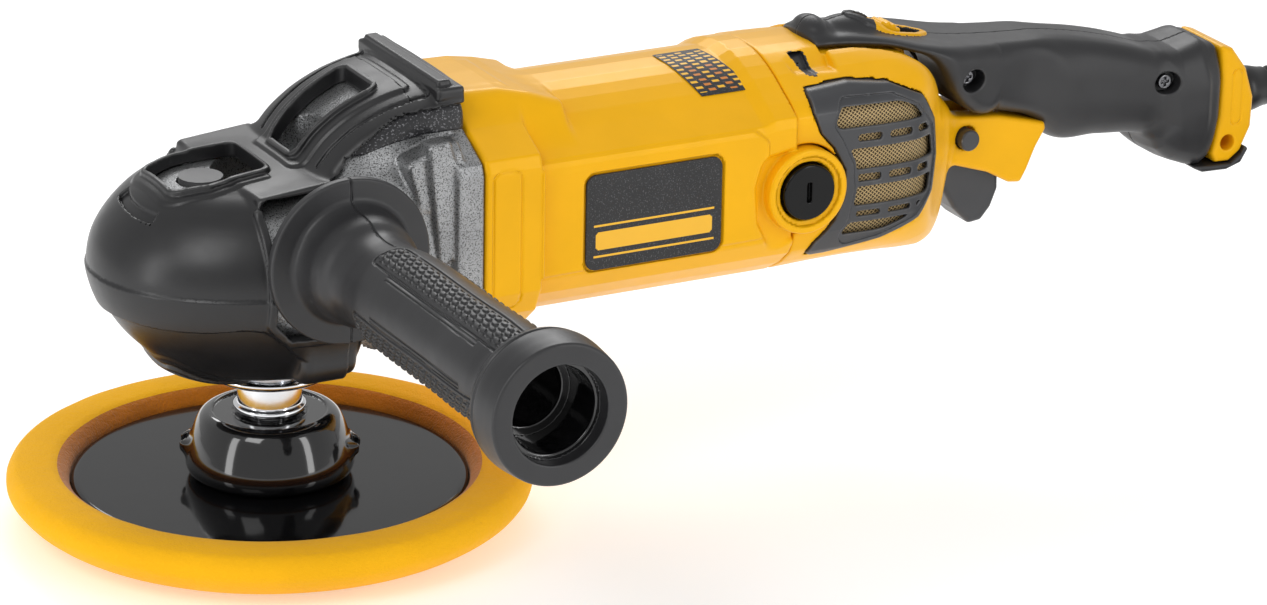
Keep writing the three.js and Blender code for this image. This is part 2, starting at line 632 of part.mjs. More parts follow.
function trigger() {
  const outline = shapeOf([[266.5, 106], [272, 107.5], [287, 98], [298, 90], [298.4, 82], [295.5, 75],
    [291, 70], [285.5, 69.3], [279, 76],
    [273, 86], [270.5, 96], [266.5, 100]]);
  const lobe = extrude(outline, 'y', -9.5, 9.5, 2.5, 2);
  return lobe.subtract(rod(2.2, -20, 20, 'y', [270, 0, 103.4], 12));
}

function lockOnButton() {
  return rod(4, -19, -12.2, 'y', [279, 0, 106.5], 20);
}

function speedDial() {
  let wheel = rod(11.5, -4, 4, 'y', [0, 0, 0], 20);
  for (let i = 0; i < 10; i += 1) {
    wheel = wheel.subtract(box(-0.7, 0.7, -5, 5, 10.6, 13).rotate([0, (i * 360) / 10, 0]));
  }
  return wheel.subtract(rod(2, -5, 5, 'y', [0, 0, 0], 12)).translate([247, 0, 142]);
}

function sideGrip() {
  const at = [HANDLE_X, 0, HANDLE_Z];
  const y = (s) => -FLANGE_Y + s;
  const profile = [
    [0, y(8)], [5, y(8)], [5, y(-3.4)], [28.6, y(-3.4)], [30.3, y(-2)], [30.3, y(0)], [28, y(1.2)],
    [21.5, y(9)], [19.6, y(13)],
    [19.6, y(18)], [17.4, y(21.5)], [16.6, y(25)], [18, y(30)], [18.4, y(90)], [17.4, y(142)], [20, y(149)],
    [24.6, y(153)], [25.1, y(158)], [22.6, y(GRIP_LENGTH)], [17.2, y(GRIP_LENGTH)], [16.2, y(160)],
    [15.2, y(139)], [0, y(139)],
  ];
  return lathe(profile, 'y', [0, 0, 0], 24).rotate([180, 0, 0]).translate(at);
}

function sideStud() {
  return rod(4, 14, 7.6 - FLANGE_Y, 'y', [0, 0, 0], 20).rotate([180, 0, 0]).translate([HANDLE_X, 0,
    HANDLE_Z])
    .intersect(box(-20, 30, -70, -40, 90, 140));
}

// ---- cord ---------------------------------------------------------------------------------
function strainRelief() {
  return lathe([[4.65, 386], [5.9, 386], [5.9, 408.8], [7.6, 409.2], [7.4, 432], [5.9, 454],
    [4.65, 454], [4.65, 386]],
    'x', [0, 0, CORD_EXIT_Z], 16);
}

const CORD_PATH = [
  [390, 0, 103], [430, 0, 103], [458, 0, 102.6], [482, -2, 97], [504, -6, 82], [521, -12, 58],
  [534, -21, 32],
  [545, -35, 13], [552.4, -56, 5.2], [555.1, -80, 4.6], [555.2, -105, 4.6],
];
const TAIL_PATH = [
  [500, -55, 40.2], [513.8, -57.7, 41.2], [525.5, -65.5, 43.4], [533.3, -77.2, 45.8], [536, -91, 47],
  [536, -96, 47], [536, -101.5, 47],
];
const COIL_AT = [485, -110];

// round cord swept along a route, in equal steps
function cordAlong(route, steps) {
  const circle = new THREE.Shape();
  circle.absarc(0, 0, CORD_D / 2, 0, 2 * Math.PI, false);
  const path = new THREE.CatmullRomCurve3(route.map((p) => new THREE.Vector3(...p)), false, 'centripetal');
  return solid(new THREE.ExtrudeGeometry(circle, { steps, extrudePath: path, curveSegments: 4,
    bevelEnabled: false }));
}

function cordCoil() {
  return lathe([[37.8, 4], [41, 0.2], [62, 0.2], [65.3, 4], [65.3, 32], [62, 35.6], [41, 35.6],
    [37.8, 32], [37.8, 4]],
    'z', [COIL_AT[0], COIL_AT[1], 0], 24);
}

function plug() {
  const body = extrude(roundRect(0, 0, 26, 22, 7),
    'x', 0, 34, 3, 1, 3).subtract(rod(4.6, -2, 10, 'x', [0, 0, 0], 16));
  const blade = (y) => box(33, 51, y - 3.2, y + 3.2, -0.8, 0.8);
  const whole = union([body, blade(-6.4), blade(6.4)]);
  return whole.rotate([0, 0, -90]).translate([COIL_AT[0] + 51, COIL_AT[1] + 17, 47]);
}

function caseScrew(y, z) {
  const cap = rod(4, 47.5, 51, 'x', [0, 0, 0], 10).subtract(rod(2, 47, 49.5, 'x', [0, 0, 0], 6));
  const shank = rod(2.2, 50.9, 60, 'x', [0, 0, 0], 8);
  return cap.add(shank).translate([0, y, z]);
}

function handleScrew(x, z) {
  const whole = lathe([[0, -16.4], [3, -16.4], [3, -13.8], [1.7, -13.8], [1.7, -9],
    [0, -9]], 'y', [0, 0, 0], 12);
  return whole.subtract(box(-0.5, 0.5, -18, -15.6, -2.2, 2.2)).translate([x, 0, z]);
}

// ---- every piece --------------------------------------------------------------------------
const bearing = (r0, r1, h0, h1, axis, at) => ring(r0, r1, h0, h1, axis, at, 16);
const motorAt = [0, 0, MOTOR_Z];
const shaftAt = [0, 0, SHAFT_Z];

add('foam_pad', foamPad(), FOAM);
add('loop_backing', rod(PLATE_R - 0.5, 9.9, 11.1, 'z', [0, 0, 0], 48), GREY);
add('backing_plate', backingPlate(), BLACK);
add('hub', hub(), BLACK);
add('hub_nut', hubNut(), BRASS);
add('spindle', spindle(), STEEL);
add('ring_gear', ringGear(), DARKSTEEL);

add('bevel_pinion', bevelPinion(), DARKSTEEL);
add('intermediate_shaft', shaft(), STEEL);
add('intermediate_gear', spurGear(), DARKSTEEL);

add('armature_shaft', armatureShaft(), STEEL);
add('armature_core', armatureCore(), COPPER);
add('commutator', ring(6.3, 13.5, 184, 202, 'x', motorAt, 18), COPPER);
add('fan', fan(), GREY);

add('gear_case', main(gearCase()), ALLOY);
add('gear_case_boot', main(boot()), RUBBER);
add('bearing_retainer', bearingRetainer(), STEEL);
add('spindle_bearing_lower', bearing(10.3, 20, 62.3, 68, 'z', [0, 0, 0]), STEEL);
add('spindle_bearing_upper', bearing(6.3, 11, 110.5, 118.5, 'z', [0, 0, 0]), STEEL);
add('shaft_bearing_front', bearing(5.3, 12, 34, 42, 'x', shaftAt), STEEL);
add('shaft_bearing_rear', bearing(4.3, 8, 58, 63.5, 'x', shaftAt), STEEL);
add('armature_bearing_front', bearing(5, 13, 59, 66, 'x', motorAt), STEEL);
add('armature_bearing_rear', bearing(4.3, 11, 211, 216.6, 'x', motorAt), STEEL);
add('gear_plate', gearPlate(), ALLOY);
add('case_screw_upper_right', caseScrew(-38, 139), DARKSTEEL);
add('case_screw_upper_left', caseScrew(38, 139), DARKSTEEL);
add('case_screw_lower_right', caseScrew(-38, 79.5), DARKSTEEL);
add('case_screw_lower_left', caseScrew(38, 79.5), DARKSTEEL);

add('spindle_lock_button', lockButton(), BLACK);
add('stator', stator(), DARKSTEEL);
add('motor_housing', motorHousing(), YELLOW);
addPair('label_plate', label(), BLACK);
add('end_bracket', endBracket(), BLACK);
addPair('carbon_brush', brush(), CARBON);
addPair('brush_cap', brushCap(), BLACK);
add('rear_housing', rearHousing(), YELLOW);
addPair('vent_cover', ventCover(), GREY);
addPair('vent_mesh', ventMesh(), MESH);
addPair('rear_grip', gripHalf(), RUBBER);
add('end_strip', endStrip(), YELLOW);
add('handle_screw_front', handleScrew(...HANDLE_SCREWS[0]), DARKSTEEL);
add('handle_screw_rear', handleScrew(...HANDLE_SCREWS[1]), DARKSTEEL);
add('trigger', trigger(), GREY);
add('lock_on_button', lockOnButton(), GREY);
add('speed_dial', speedDial(), YELLOW);
add('switch_body', box(288, 322, -11, 11, 122, 132), BLACK);
add('speed_module', box(328, 352, -11, 11, 106, 124), BLACK);

add('side_grip', sideGrip(), RUBBER);
add('side_handle_stud', sideStud(), STEEL);

add('strain_relief', strainRelief(), BLACK);
add('cord_tube', cordAlong(CORD_PATH, 26), BLACK);
add('cord_coil', cordCoil(), BLACK);
add('cord_tail', cordAlong(TAIL_PATH, 8), BLACK);
add('plug', plug(), BLACK);

export default polisher;
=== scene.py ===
import json
import math

import bmesh
import bpy
import numpy as np
from mathutils import Matrix, Vector

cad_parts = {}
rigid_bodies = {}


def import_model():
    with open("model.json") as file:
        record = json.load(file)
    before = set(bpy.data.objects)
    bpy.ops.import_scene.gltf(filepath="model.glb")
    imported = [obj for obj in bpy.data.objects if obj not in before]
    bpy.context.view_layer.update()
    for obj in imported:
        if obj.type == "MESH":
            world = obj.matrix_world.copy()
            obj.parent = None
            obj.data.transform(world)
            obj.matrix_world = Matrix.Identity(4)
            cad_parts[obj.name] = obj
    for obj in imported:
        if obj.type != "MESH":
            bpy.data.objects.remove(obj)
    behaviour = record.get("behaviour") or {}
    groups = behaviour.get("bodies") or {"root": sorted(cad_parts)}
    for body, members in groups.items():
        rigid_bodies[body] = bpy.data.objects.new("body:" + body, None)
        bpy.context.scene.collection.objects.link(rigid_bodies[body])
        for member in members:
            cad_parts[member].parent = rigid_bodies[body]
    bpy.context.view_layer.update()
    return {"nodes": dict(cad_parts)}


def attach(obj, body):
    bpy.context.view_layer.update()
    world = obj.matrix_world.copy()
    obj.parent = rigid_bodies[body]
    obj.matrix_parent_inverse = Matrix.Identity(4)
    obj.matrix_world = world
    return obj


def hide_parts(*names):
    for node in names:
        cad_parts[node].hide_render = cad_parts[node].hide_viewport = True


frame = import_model()
# Rotary polisher. Sizes are in millimetres in the part's frame: +Z runs up the spindle, the origin is
# the centre of the pad's working face, +X points to the rear grip and the photo is taken from -Y.
NODES = frame["nodes"]
MM = 0.001
FINE = 1.0

# ---- camera
PAN, TILT, ROLL = math.radians(28.17), math.radians(20.47), math.radians(1.03)
SENSOR, LENS = 36, 156.430939
CAMERA_AT = (-0.7524, -1.6799, 0.7681)
camera = bpy.data.objects.new("camera", bpy.data.cameras.new("camera"))
bpy.context.scene.collection.objects.link(camera)
bpy.context.scene.camera = camera
camera.data.sensor_width = SENSOR
camera.data.lens = LENS
camera.data.clip_end = 20
right = Vector((math.cos(PAN), -math.sin(PAN), 0))
ahead = Vector((math.sin(PAN) * math.cos(TILT), math.cos(PAN) * math.cos(TILT), -math.sin(TILT)))
up = right.cross(ahead)
side = right * math.cos(ROLL) + up * math.sin(ROLL)
top = up * math.cos(ROLL) - right * math.sin(ROLL)
turn_m = Matrix((side, top, -ahead)).transposed().to_4x4()
camera.matrix_world = Matrix.Translation(CAMERA_AT) @ turn_m


# ---- mesh makers
def build(name, verts, quads, body, mats, normals=None, pick=None):
    """A mesh object from arrays in millimetres; pick gives each face's material."""
    me = bpy.data.meshes.new(name)
    quads = np.asarray(quads, dtype=np.int32)
    me.vertices.add(len(verts))
    me.vertices.foreach_set("co", (np.asarray(verts) * MM).astype(np.float32).ravel())
    me.loops.add(quads.size)
    me.loops.foreach_set("vertex_index", quads.ravel())
    me.polygons.add(len(quads))
    me.polygons.foreach_set("loop_start", np.arange(len(quads), dtype=np.int32) * quads.shape[1])
    me.polygons.foreach_set("use_smooth", np.ones(len(quads), dtype=bool))
    me.update(calc_edges=True)
    for m in mats:
        me.materials.append(m)
    if pick is not None:
        me.polygons.foreach_set("material_index", pick.astype(np.int32))
    if normals is not None:
        me.normals_split_custom_set_from_vertices(normals.astype(np.float32))
    obj = bpy.data.objects.new(name, me)
    bpy.context.scene.collection.objects.link(obj)
    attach(obj, body)
    return obj


def smin(a, b, k=0.0):
    """The smaller of two distances, blended over a width k."""
    if k <= 0:
        return np.minimum(a, b)
    h = np.maximum(k - np.abs(a - b), 0) / k
    return np.minimum(a, b) - h * h * k * 0.25


def smax(a, b, k=0.0):
    return -smin(-a, -b, k)


def cut(d, tool, k=0.0):
    """d with the tool taken away."""
    return smax(d, -tool, k)


def unit(t):
    return np.clip(t, 0, 1)


def join(k, *parts):
    """All the parts as one, blended."""
    out = parts[0]
    for p in parts[1:]:
        out = smin(out, p, k)
    return out


def meet(k, *parts):
    """What all the parts share, blended."""
    out = parts[0]
    for p in parts[1:]:
        out = smax(out, p, k)
    return out


def sunk(f, region, depth, k=0.5):
    """f with the region pressed in by depth, following the surface."""
    return cut(f, cut(region, f + depth, k), k)


def raised(f, region, height, k=0.5):
    """f with the region standing out by height."""
    return smin(f, smax(region, f - height, k), k)


def outline(points, r=0.0):
    """Distance to a closed outline whose corners are rounded to radius r."""
    v = np.array(points, float)
    if r > 0:
        nxt, prv = np.roll(v, -1, 0), np.roll(v, 1, 0)
        area = np.sum(v[:, 0] * nxt[:, 1] - nxt[:, 0] * v[:, 1])
        s = 1.0 if area > 0 else -1.0
        e1, e2 = v - prv, nxt - v
        n1 = np.stack([-e1[:, 1], e1[:, 0]], 1) / np.linalg.norm(e1, axis=1)[:, None] * s
        n2 = np.stack([-e2[:, 1], e2[:, 0]], 1) / np.linalg.norm(e2, axis=1)[:, None] * s
        v = v + r * (n1 + n2) / (1 + np.sum(n1 * n2, axis=1))[:, None]

    def f(u, w):
        d = np.full(np.shape(u), 1e18)
        s = np.ones(np.shape(u), bool)
        for i in range(len(v)):
            a, b = v[i], v[i - 1]
            e = b - a
            du, dw = u - a[0], w - a[1]
            t = unit((du * e[0] + dw * e[1]) / (e @ e))
            d = np.minimum(d, (du - e[0] * t) ** 2 + (dw - e[1] * t) ** 2)
            c1, c2, c3 = w >= a[1], w < b[1], e[0] * dw > e[1] * du
            s ^= (c1 & c2 & c3) | (~c1 & ~c2 & ~c3)
        return np.where(s, 1, -1) * np.sqrt(d) - r

    return f


def rect(u, w, cu, cw, hu, hw, r):
    """Rounded rectangle of half sizes hu, hw."""
    a, b = np.abs(u - cu) - hu + r, np.abs(w - cw) - hw + r
    return np.hypot(np.maximum(a, 0), np.maximum(b, 0)) + np.minimum(np.maximum(a, b), 0) - r


def slab(t, a, b):
    """Distance to the span from a to b."""
    return np.abs(t - (a + b) / 2) - (b - a) / 2


def disc(u, w, cu, cw, r):
    return np.hypot(u - cu, w - cw) - r


def curve(points):
    """Smooth function through points, with its slope."""
    p = np.array(sorted(points), float)
    x, y = p[:, 0], p[:, 1]
    h, d = np.diff(x), np.diff(y) / np.diff(x)
    m = np.concatenate([[d[0]], (h[1:] * d[:-1] + h[:-1] * d[1:]) / (h[1:] + h[:-1]), [d[-1]]])
    t = np.linspace(x[0], x[-1], 400)
    i = np.clip(np.searchsorted(x, t) - 1, 0, len(h) - 1)
    s = (t - x[i]) / h[i]
    v = ((2 * s**3 - 3 * s**2 + 1) * y[i] + (s**3 - 2 * s**2 + s) * h[i] * m[i]
         + (3 * s**2 - 2 * s**3) * y[i + 1] + (s**3 - s**2) * h[i] * m[i + 1])
    g = np.gradient(v, t)
    return lambda q: np.interp(q, t, v), lambda q: np.interp(q, t, g)


def above(v, x, c):
    """How far v is above the curve c = (value, slope) of x."""
    return (v - c[0](x)) / np.sqrt(1 + c[1](x) ** 2)


SIDES = (("right", -1), ("left", 1))


def mirrored(field, sign):
    """The field on the side of y that sign points to; it is written for y > 0."""
    return lambda x, y, z: field(x, y * sign, z)


def box_on(sign, lo, hi):
    """A box's corners on the side of y that sign points to; they are written for y > 0."""
    return (lo, hi) if sign > 0 else ((lo[0], -hi[1], lo[2]), (hi[0], -lo[1], hi[2]))


def carve(name, field, lo, hi, h, mats, body="tool", pick=None):
    """Meshes the surface field = 0 in the box, with points pulled onto it and its own normals."""
    h = h * FINE
    lo, hi = np.array(lo, float), np.array(hi, float)
    B = 8
    nb = np.ceil((hi - lo) / (h * B)).astype(int) + 1
    n = nb * B
    bc = np.stack(np.meshgrid(*[lo[i] + h * (B * np.arange(nb[i]) + (B - 1) / 2) for i in range(3)],
                              indexing="ij"), -1).reshape(-1, 3)
    d = field(bc[:, 0], bc[:, 1], bc[:, 2])
    vals = np.repeat(np.repeat(np.repeat(d.reshape(nb), B, 0), B, 1), B, 2).astype(np.float32)
    near = np.argwhere((np.abs(d) < B * h * 1.35).reshape(nb))
    k = np.stack(np.meshgrid(*[np.arange(B)] * 3, indexing="ij"), -1).reshape(-1, 3)
    for part in np.array_split(near, max(1, len(near) // 1200)):
        idx = (part[:, None, :] * B + k[None]).reshape(-1, 3)
        q = lo + idx * h
        vals[idx[:, 0], idx[:, 1], idx[:, 2]] = field(q[:, 0], q[:, 1], q[:, 2])
    inside = vals < 0
    c = [slice(0, -1), slice(1, None)]
    count = sum(inside[c[i], c[j], c[l]].astype(np.int8) for i in (0, 1) for j in (0, 1) for l in (0, 1))
    cells = np.argwhere((count > 0) & (count < 8))
    ids = np.full(tuple(n - 1), -1, np.int32)
    ids[cells[:, 0], cells[:, 1], cells[:, 2]] = np.arange(len(cells))
    total, hits = np.zeros((len(cells), 3)), np.zeros(len(cells))
    corner = lambda o: vals[cells[:, 0] + o[0], cells[:, 1] + o[1], cells[:, 2] + o[2]]
    for axis in range(3):
        for a in (0, 1):
            for b in (0, 1):
                o = np.insert(np.array([a, b]), axis, 0)
                e = o.copy()
                e[axis] = 1
                v0, v1 = corner(o), corner(e)
                hit = (v0 < 0) != (v1 < 0)
                t = np.where(hit, v0 / np.where(hit, v0 - v1, 1), 0)
                p = np.tile(o.astype(float), (len(cells), 1))
                p[:, axis] = t
                total += p * hit[:, None]
                hits += hit
    P = lo + (cells + total / hits[:, None]) * h
    eps = 0.12

    def slope(P):
        x, y, z = P.T
        return np.stack([field(x + eps, y, z) - field(x - eps, y, z),
                         field(x, y + eps, z) - field(x, y - eps, z),
                         field(x, y, z + eps) - field(x, y, z - eps)], 1) / (2 * eps)

    for _ in range(2):
        g = slope(P)
        step = field(*P.T) / np.maximum(np.sum(g * g, 1), 0.2)
        P = P - g * np.clip(step, -0.5 * h, 0.5 * h)[:, None]
    g = slope(P)
    g /= np.maximum(np.linalg.norm(g, axis=1), 1e-9)[:, None]
    quads = []
    for axis in range(3):
        a, b = [i for i in range(3) if i != axis]
        s0, s1 = [slice(1, -1)] * 3, [slice(1, -1)] * 3
        s0[axis], s1[axis] = slice(0, -1), slice(1, None)
        n0, n1 = inside[tuple(s0)], inside[tuple(s1)]
        e = np.argwhere(n0 != n1)
        sign = n0[e[:, 0], e[:, 1], e[:, 2]]
        for i in (a, b):
            e[:, i] += 1
        ring = []
        for da, db in ((-1, -1), (0, -1), (0, 0), (-1, 0)):
            w = e.copy()
            w[:, a] += da
            w[:, b] += db
            ring.append(ids[w[:, 0], w[:, 1], w[:, 2]])
        q = np.stack(ring, 1)
        flip = sign if axis != 1 else ~sign
        q[~flip] = q[~flip][:, ::-1]
        quads.append(q)
    quads = np.concatenate(quads)
    which = None
    if pick is not None:
        m = P[quads].mean(1)
        which = pick(m[:, 0], m[:, 1], m[:, 2])
    return build(name, P, quads, body, mats, g, which)


def softened(points, r, steps=4):
    """An outline with each corner turned into a small arc; an entry's third number is its own radius."""
    out = []
    n = len(points)
    for i, p in enumerate(points):
        q = np.array(p[:2], float)
        rr = p[2] if len(p) > 2 else r
        if i in (0, n - 1) or rr <= 0:
            out.append(q)
            continue
        a, b = np.array(points[i - 1][:2], float) - q, np.array(points[i + 1][:2], float) - q
        la, lb = np.linalg.norm(a), np.linalg.norm(b)
        t = min(rr, 0.45 * la, 0.45 * lb)
        p0, p1 = q + a / la * t, q + b / lb * t
        for s in np.linspace(0, 1, steps + 1):
            out.append((1 - s) ** 2 * p0 + 2 * s * (1 - s) * q + s**2 * p1)
    return np.array(out)


AXES = {"z": ((1, 0, 0), (0, 1, 0), (0, 0, 1)), "-y": ((1, 0, 0), (0, 0, 1), (0, -1, 0))}


def turned(name, profile, mats, body="tool", axis="z", at=(0, 0, 0), r=0.6, n=96, bands=None, steps=4):
    """A solid of revolution: profile runs (radius, height) from axis to axis, bands pick more materials."""
    n = max(24, int(n / FINE))
    p = softened(profile, r, steps)
    rad, hgt = p[:, 0], p[:, 1]
    ang = 2 * np.pi * np.arange(n) / n
    U, V, W = [np.array(a, float) for a in AXES[axis]]
    ring = rad[:, None, None] * (np.cos(ang)[None, :, None] * U + np.sin(ang)[None, :, None] * V)
    verts = (ring + hgt[:, None, None] * W + np.array(at, float)).reshape(-1, 3)
    i, j = np.meshgrid(np.arange(len(p) - 1), np.arange(n), indexing="ij")
    i, j = i.ravel(), j.ravel()
    k = (j + 1) % n
    quads = np.stack([i * n + j, i * n + k, (i + 1) * n + k, (i + 1) * n + j], 1)
    mid = (hgt[:-1] + hgt[1:]) / 2
    which = np.zeros(len(quads), int)
    for m, test in enumerate(bands or []):
        which[test((rad[:-1] + rad[1:]) / 2, mid)[i]] = m + 1
    o = build(name, verts, quads, body, mats, None, which)
    bm = bmesh.new()
    bm.from_mesh(o.data)
    bmesh.ops.remove_doubles(bm, verts=bm.verts, dist=1e-6)
    bmesh.ops.recalc_face_normals(bm, faces=bm.faces)
    bm.to_mesh(o.data)
    bm.free()
    o.data.set_sharp_from_angle(angle=math.radians(50))
    return o


# ---- materials
def surface(name):
    """A new material with its node maker, link maker and main shader."""
    m = bpy.data.materials.new(name)
    m.use_nodes = True
    return m, m.node_tree.nodes.new, m.node_tree.links.new, m.node_tree.nodes["Principled BSDF"]


def give(node, **values):
    """Sets a node's inputs; an underscore stands for a space."""
    for key, value in values.items():
        node.inputs[key.replace("_", " ")].default_value = value


def ramp(new, link, source, lo, hi, a, c):
    """Colour a up to lo, colour c from hi."""
    r = new("ShaderNodeValToRGB")
    e = r.color_ramp.elements
    e[0].position, e[1].position = lo, hi
    e[0].color, e[1].color = (*a, 1), (*c, 1)
    link(source, r.inputs["Fac"])
    return r.outputs["Color"]


DIM, LIT = (0, 0, 0), (1, 1, 1)


def material(name, color, rough, metal=0.0, coat=0.0, spots=None, grain=(), vary=0.06, rvary=0.08,
             scale=60, sheen=0.0, wear=0.0, spec=0.5, streak=None, glint=(1, 1, 1)):
    """A shaded surface: mottled colour and roughness, grain as bump, optional specks and pale worn edges.

    grain is a list of (size mm, height mm); spots is (size mm, share, colour)."""
    m, new, link, b = surface(name)
    give(b, Metallic=metal, Coat_Weight=coat, Coat_Roughness=0.12, Sheen_Weight=sheen,
         Specular_IOR_Level=spec, Specular_Tint=(*glint, 1))
    where = new("ShaderNodeTexCoord").outputs["Object"]
    if streak:
        mp = new("ShaderNodeMapping")
        give(mp, Scale=streak)
        link(where, mp.inputs["Vector"])
        where = mp.outputs["Vector"]

    def noise(size, detail=3):
        x = new("ShaderNodeTexNoise")
        give(x, Scale=size, Detail=detail)
        link(where, x.inputs["Vector"])
        return x.outputs["Fac"]

    def mixed(fac, a, c):
        x = new("ShaderNodeMix")
        x.data_type = "RGBA"
        link(fac, x.inputs["Factor"])
        for s, v in ((x.inputs["A"], a), (x.inputs["B"], c)):
            if isinstance(v, tuple):
                s.default_value = (*v, 1)
            else:
                link(v, s)
        return x.outputs["Result"]

    tone = lambda k: tuple(min(1, c * k) for c in color)
    out = ramp(new, link, noise(scale), 0.3, 0.7, tone(1 - vary), tone(1 + vary))
    if spots:
        size, share, sc = spots
        rare = 0.16 * (1 - share)
        sel = ramp(new, link, noise(1000 / size, 1), 0.5 + rare, 0.56 + rare, DIM, LIT)
        out = mixed(sel, out, sc)
    if wear:
        p = new("ShaderNodeNewGeometry").outputs["Pointiness"]
        edge = ramp(new, link, p, 0.52, 0.60, DIM, (wear, wear, wear))
        out = mixed(edge, out, tuple(0.5 * c + 0.35 for c in color))
    link(out, b.inputs["Base Color"])
    r = new("ShaderNodeMapRange")
    give(r, To_Min=max(0.02, rough - rvary), To_Max=rough + rvary)
    link(noise(scale * 2.3), r.inputs["Value"])
    link(r.outputs["Result"], b.inputs["Roughness"])
    last = None
    for size, height in grain:
        u = new("ShaderNodeBump")
        give(u, Distance=height * MM)
        link(noise(1000 / size, 2), u.inputs["Height"])
        if last:
            link(last, u.inputs["Normal"])
        last = u.outputs["Normal"]
    if last:
        link(last, b.inputs["Normal"])
    return m


YELLOW = material("yellow_shell", (0.88, 0.44, 0.004), 0.33, coat=0.05, vary=0.03,
                  grain=[(60, 0.1), (0.8, 0.005)], glint=(1, 0.72, 0.2))
RUBBER = material("boot_rubber", (0.012, 0.012, 0.013), 0.34, vary=0.12, grain=[(0.5, 0.012), (30, 0.1)],
                  wear=0.12)
SOFT = material("grip_rubber", (0.018, 0.018, 0.0195), 0.4, vary=0.12, grain=[(0.45, 0.014)], wear=0.1)
GRAINY = material("grained_black", (0.012, 0.012, 0.014), 0.34, vary=0.2, grain=[(0.9, 0.12)],
                  spots=(0.7, 0.35, (0.16, 0.16, 0.17)))
BLACK = material("gloss_black", (0.004, 0.004, 0.0045), 0.06, coat=0.6, rvary=0.03, vary=0.2,
                 grain=[(40, 0.05)])
CAP = material("cap_black", (0.003, 0.003, 0.003), 0.12, rvary=0.03, vary=0.2, grain=[(40, 0.05)],
               spec=0.22)
DISC = material("disc_black", (0.004, 0.004, 0.0045), 0.08, coat=0.12, rvary=0.03, vary=0.2,
                grain=[(40, 0.05)], spec=0.3)
DARK = material("dark_plastic", (0.02, 0.02, 0.023), 0.38, vary=0.15, grain=[(0.6, 0.02)], wear=0.2)
GREY = material("grey_plastic", (0.04, 0.041, 0.045), 0.36, vary=0.08, grain=[(0.5, 0.012)], wear=0.25)
ALLOY = material("cast_alloy", (0.33, 0.335, 0.34), 0.4, metal=0.8, vary=0.1, rvary=0.1,
                 grain=[(0.9, 0.22), (0.4, 0.06)], spots=(0.5, 0.7, (0.1, 0.1, 0.1)))
CHROME = material("polished_steel", (0.8, 0.81, 0.83), 0.1, metal=1, vary=0.03, rvary=0.04,
                  grain=[(1.5, 0.002)])
STEEL = material("dark_steel", (0.16, 0.16, 0.17), 0.3, metal=1, vary=0.15, grain=[(0.8, 0.02)], wear=0.4)
FOAM = material("foam", (0.93, 0.47, 0.01), 0.9, vary=0.05, scale=25,
                grain=[(0.7, 0.25), (2.2, 0.25), (12, 0.5)], sheen=0.08, spec=0.12, glint=(1, 0.8, 0.4))
# foam for the hollow-cut inner wall: coarser pores, and a darker colour that is painted shade in the recess
FOAM_CUT_SHADED = material("foam_cut_shaded", (0.55, 0.17, 0.006), 0.95, vary=0.12, grain=[(0.8, 0.4), (2.5, 0.4)],
                    sheen=0.3, spec=0.15)
LABEL = material("label_film", (0.01, 0.01, 0.011), 0.5, vary=0.2, grain=[(0.5, 0.06)],
                 spots=(0.55, 0.3, (0.07, 0.07, 0.075)))
INK = material("yellow_ink", (0.9, 0.48, 0.015), 0.4, vary=0.03, grain=[(0.5, 0.01)])
ORANGE = material("orange_ink", (0.62, 0.2, 0.02), 0.4, vary=0.03, grain=[(0.5, 0.01)])
COPPER = material("copper", (0.72, 0.36, 0.2), 0.3, metal=1, vary=0.1, grain=[(0.6, 0.03)])
BRASS = material("brass", (0.74, 0.55, 0.24), 0.28, metal=1, vary=0.08, grain=[(0.8, 0.02)])
CARBON = material("carbon", (0.03, 0.03, 0.03), 0.6, vary=0.2, grain=[(0.4, 0.03)])
CORD = material("cord_jacket", (0.02, 0.02, 0.022), 0.45, vary=0.12, grain=[(0.5, 0.02), (4, 0.04)])
WIND = material("winding", (0.35, 0.13, 0.05), 0.35, metal=0.6, vary=0.25, grain=[(0.7, 0.2)],
                streak=(0.15, 1, 1))


def mesh_material():
    """Woven tan wire: two crossed wave patterns raise the wires and paint the gaps dark, painted shade for
    the openings.
    """
    m, new, link, b = surface("wire_mesh")
    give(b, Metallic=0.35, Roughness=0.45)
    tex = new("ShaderNodeTexCoord").outputs["Object"]
    heights = []
    for turn in (0.9, -0.75):
        mp = new("ShaderNodeMapping")
        give(mp, Rotation=(0, turn, 0))
        link(tex, mp.inputs["Vector"])
        w = new("ShaderNodeTexWave")
        w.bands_direction = "X"
        give(w, Scale=260, Distortion=0.4, Detail_Scale=2)
        link(mp.outputs["Vector"], w.inputs["Vector"])
        heights.append(w.outputs["Fac"])
    mx = new("ShaderNodeMath")
    mx.operation = "MAXIMUM"
    link(heights[0], mx.inputs[0])
    link(heights[1], mx.inputs[1])
    # dark between the wires: painted shade where the openings would be
    tan = ramp(new, link, mx.outputs[0], 0.55, 0.85, (0.075, 0.048, 0.02), (0.62, 0.45, 0.22))
    link(tan, b.inputs["Base Color"])
    u = new("ShaderNodeBump")
    give(u, Distance=0.0006)
    link(mx.outputs[0], u.inputs["Height"])
    link(u.outputs["Normal"], b.inputs["Normal"])
    return m


MESH = mesh_material()

# ---- supply cord
CORD_D, CORD_Z = 8.5, 103
LEAD = [(430, 0, 103), (445, 0, 103), (458, 0, 102.6), (482, -2, 97), (504, -6, 82), (521, -12, 58),
        (534, -21, 32), (545, -35, 13), (552.4, -56, 5.2), (555.1, -80, 4.6), (555.2, -105, 4.6)]
TAIL = [(500, -55, 40.2), (513.8, -57.7, 41.2), (525.5, -65.5, 43.4), (533.3, -77.2, 45.8),
        (536, -91, 47), (536, -96, 47), (536, -101, 47)]
COIL_X, COIL_Y = 485, -110
TURNS = [(70.4, 4.6), (61.5, 4.6), (52.5, 4.6), (43.5, 4.6), (43.5, 13.3), (52.5, 13.3), (61.5, 13.3),
         (61.5, 22), (52.5, 22), (43.5, 22), (43.5, 30.7), (52.5, 30.7)]


